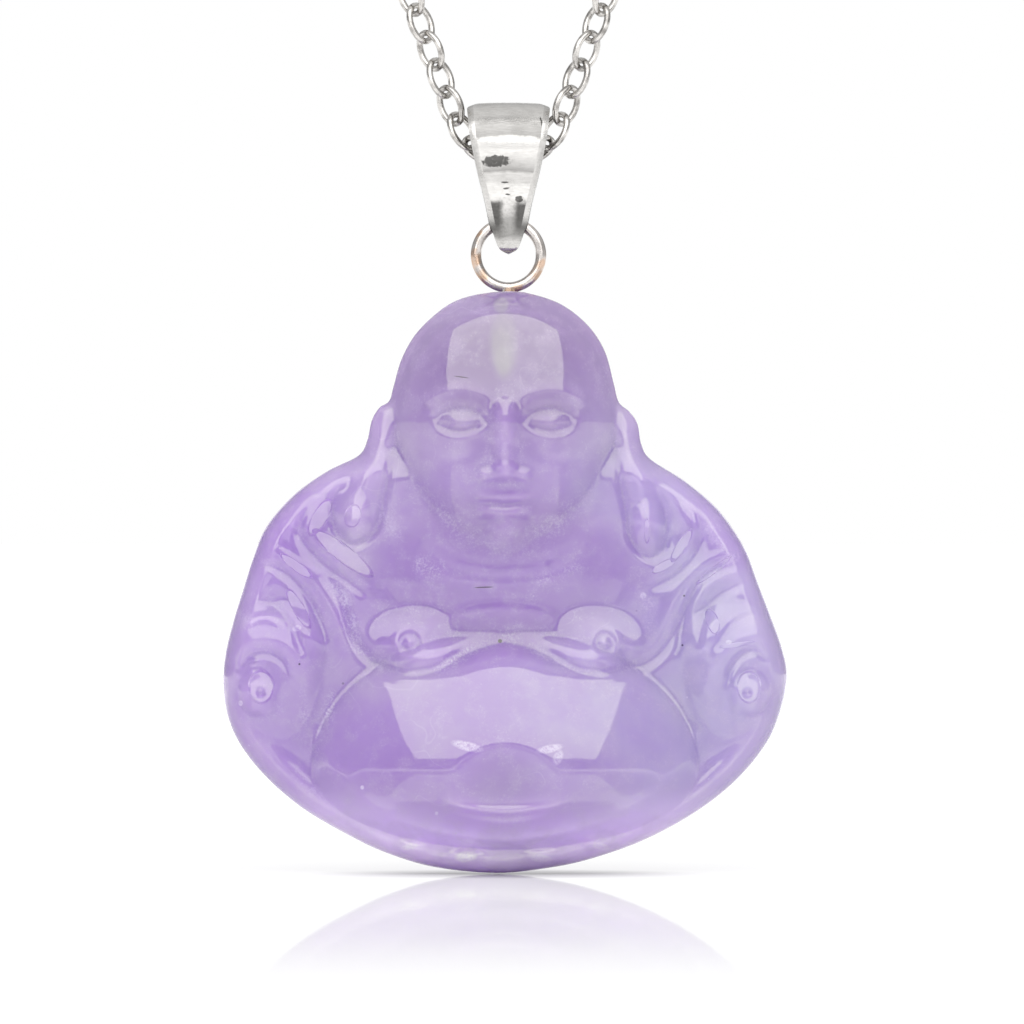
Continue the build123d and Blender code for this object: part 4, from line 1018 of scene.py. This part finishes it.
def makeFloor(low):
    half = studio["floorSize"] / 2
    corners = np.array([(-half, -half, low), (half, -half, low), (half, half, low), (-half, half, low)])
    paint = Paint("studioFloor")
    where = paint.spot()
    forward = paint.axes(where)[1]
    wide, deep, middle = studio["glowZone"]
    level = paint.vector("MULTIPLY_ADD", where, (1 / wide, 1 / deep, 0), (0, -middle / deep, 0))
    far = paint.step(paint.length(level), 1.0, 3.0)
    strength = paint.follow(forward, studio["floorGlow"]) * (1 - far) + studio["farGlow"] * far
    wide, deep, dark = studio["contact"]
    under = paint.length(paint.vector("MULTIPLY", where, (1 / wide, 1 / deep, 0)))
    strength = strength * (1 - paint.step(under, 1.0, 0.30, dark))
    glow = paint.add("Emission", inputs={"Color": (1, 1, 1, 1), "Strength": strength})
    matte = paint.add("BsdfDiffuse", inputs={"Color": tint(250, 250, 251)})
    gloss = paint.add("BsdfGlossy", inputs={"Color": (1, 1, 1, 1), "Roughness": studio["floorRoughness"]})
    base = paint.add("MixShader", inputs={0: 0.5, 1: matte, 2: glow})
    mirror = studio["floorMirror"] * paint.step(forward, *studio["mirrorReach"]) * (1 - far)
    shader = paint.add("MixShader", inputs={0: mirror, 1: base, 2: gloss})
    floor = makePiece("studioFloor", corners, [np.array([[0, 1, 2, 3]])], None, None, paint.finish(shader))


def makeWorld():
    # plain white behind the object, and for what it reflects a room with a white screen at its back
    paint = Paint("studioSky", "worlds")
    _, depth, height = paint.axes(paint.add("TexCoord"))
    walls = [(-1.0, studio["roomFront"]), (-0.1, studio["roomSide"]), (0.7, studio["roomBack"])]
    room = paint.follow(depth, walls) + paint.step(height, 0.2, 0.9, studio["roomTop"])
    screen = paint.step(depth, 0.90, 0.95) * paint.step(height, 0.45, 0.30)
    room = room * (1 - screen) + studio["screen"] * screen
    straight = paint.add("LightPath")
    strength = room + straight * (1.0 - room)
    paint.finish(paint.add("Background", inputs={"Color": (1, 1, 1, 1), "Strength": strength}), "World")
    bpy.context.scene.world = paint.material


def makeSoftbox(plan, middle):
    # a rectangular softbox that faces the middle of the stone
    width, height, distance, azimuth, elevation, brightness = plan
    a, e = np.radians([azimuth, elevation])
    away = Vector((np.sin(a) * np.cos(e), -np.cos(a) * np.cos(e), np.sin(e)))
    lamp = bpy.data.lights.new("softbox", "AREA")
    lamp.shape, lamp.size, lamp.size_y = "RECTANGLE", width * mm, height * mm
    lamp.energy = brightness * np.pi * width * height * mm**2
    light = bpy.data.objects.new("softbox", lamp)
    light.location = middle + away * distance * mm
    light.rotation_euler = away.to_track_quat("Z", "Y").to_euler()
    bpy.context.scene.collection.objects.link(light)


def makeCamera():
    lens = bpy.data.cameras.new("camera")
    camera = bpy.data.objects.new("camera", lens)
    half = studio["picture"] / 2
    x = (half - studio["axisPixel"]) / studio["pixelsPerMm"]
    z = boreZ - (half - studio["borePixel"]) / studio["pixelsPerMm"]
    camera.location = Vector((x, -studio["cameraDistance"], z)) * mm
    camera.rotation_euler = (np.pi / 2, 0, 0)
    lens.sensor_width = 36.0
    lens.lens = lens.sensor_width * studio["cameraDistance"] / (studio["picture"] / studio["pixelsPerMm"])
    lens.clip_start, lens.clip_end = 0.01, 20
    bpy.context.scene.collection.objects.link(camera)
    bpy.context.scene.camera = camera


bottom = stoneTop - stone["height"] + boreZ
makeFloor(bottom - studio["floorGap"])
makeWorld()
makeSoftbox(studio["softbox"], Vector((0, 0, boreZ - 26)) * mm)
makeCamera()
bpy.context.scene.view_settings.view_transform = "Standard"
print("stage made")
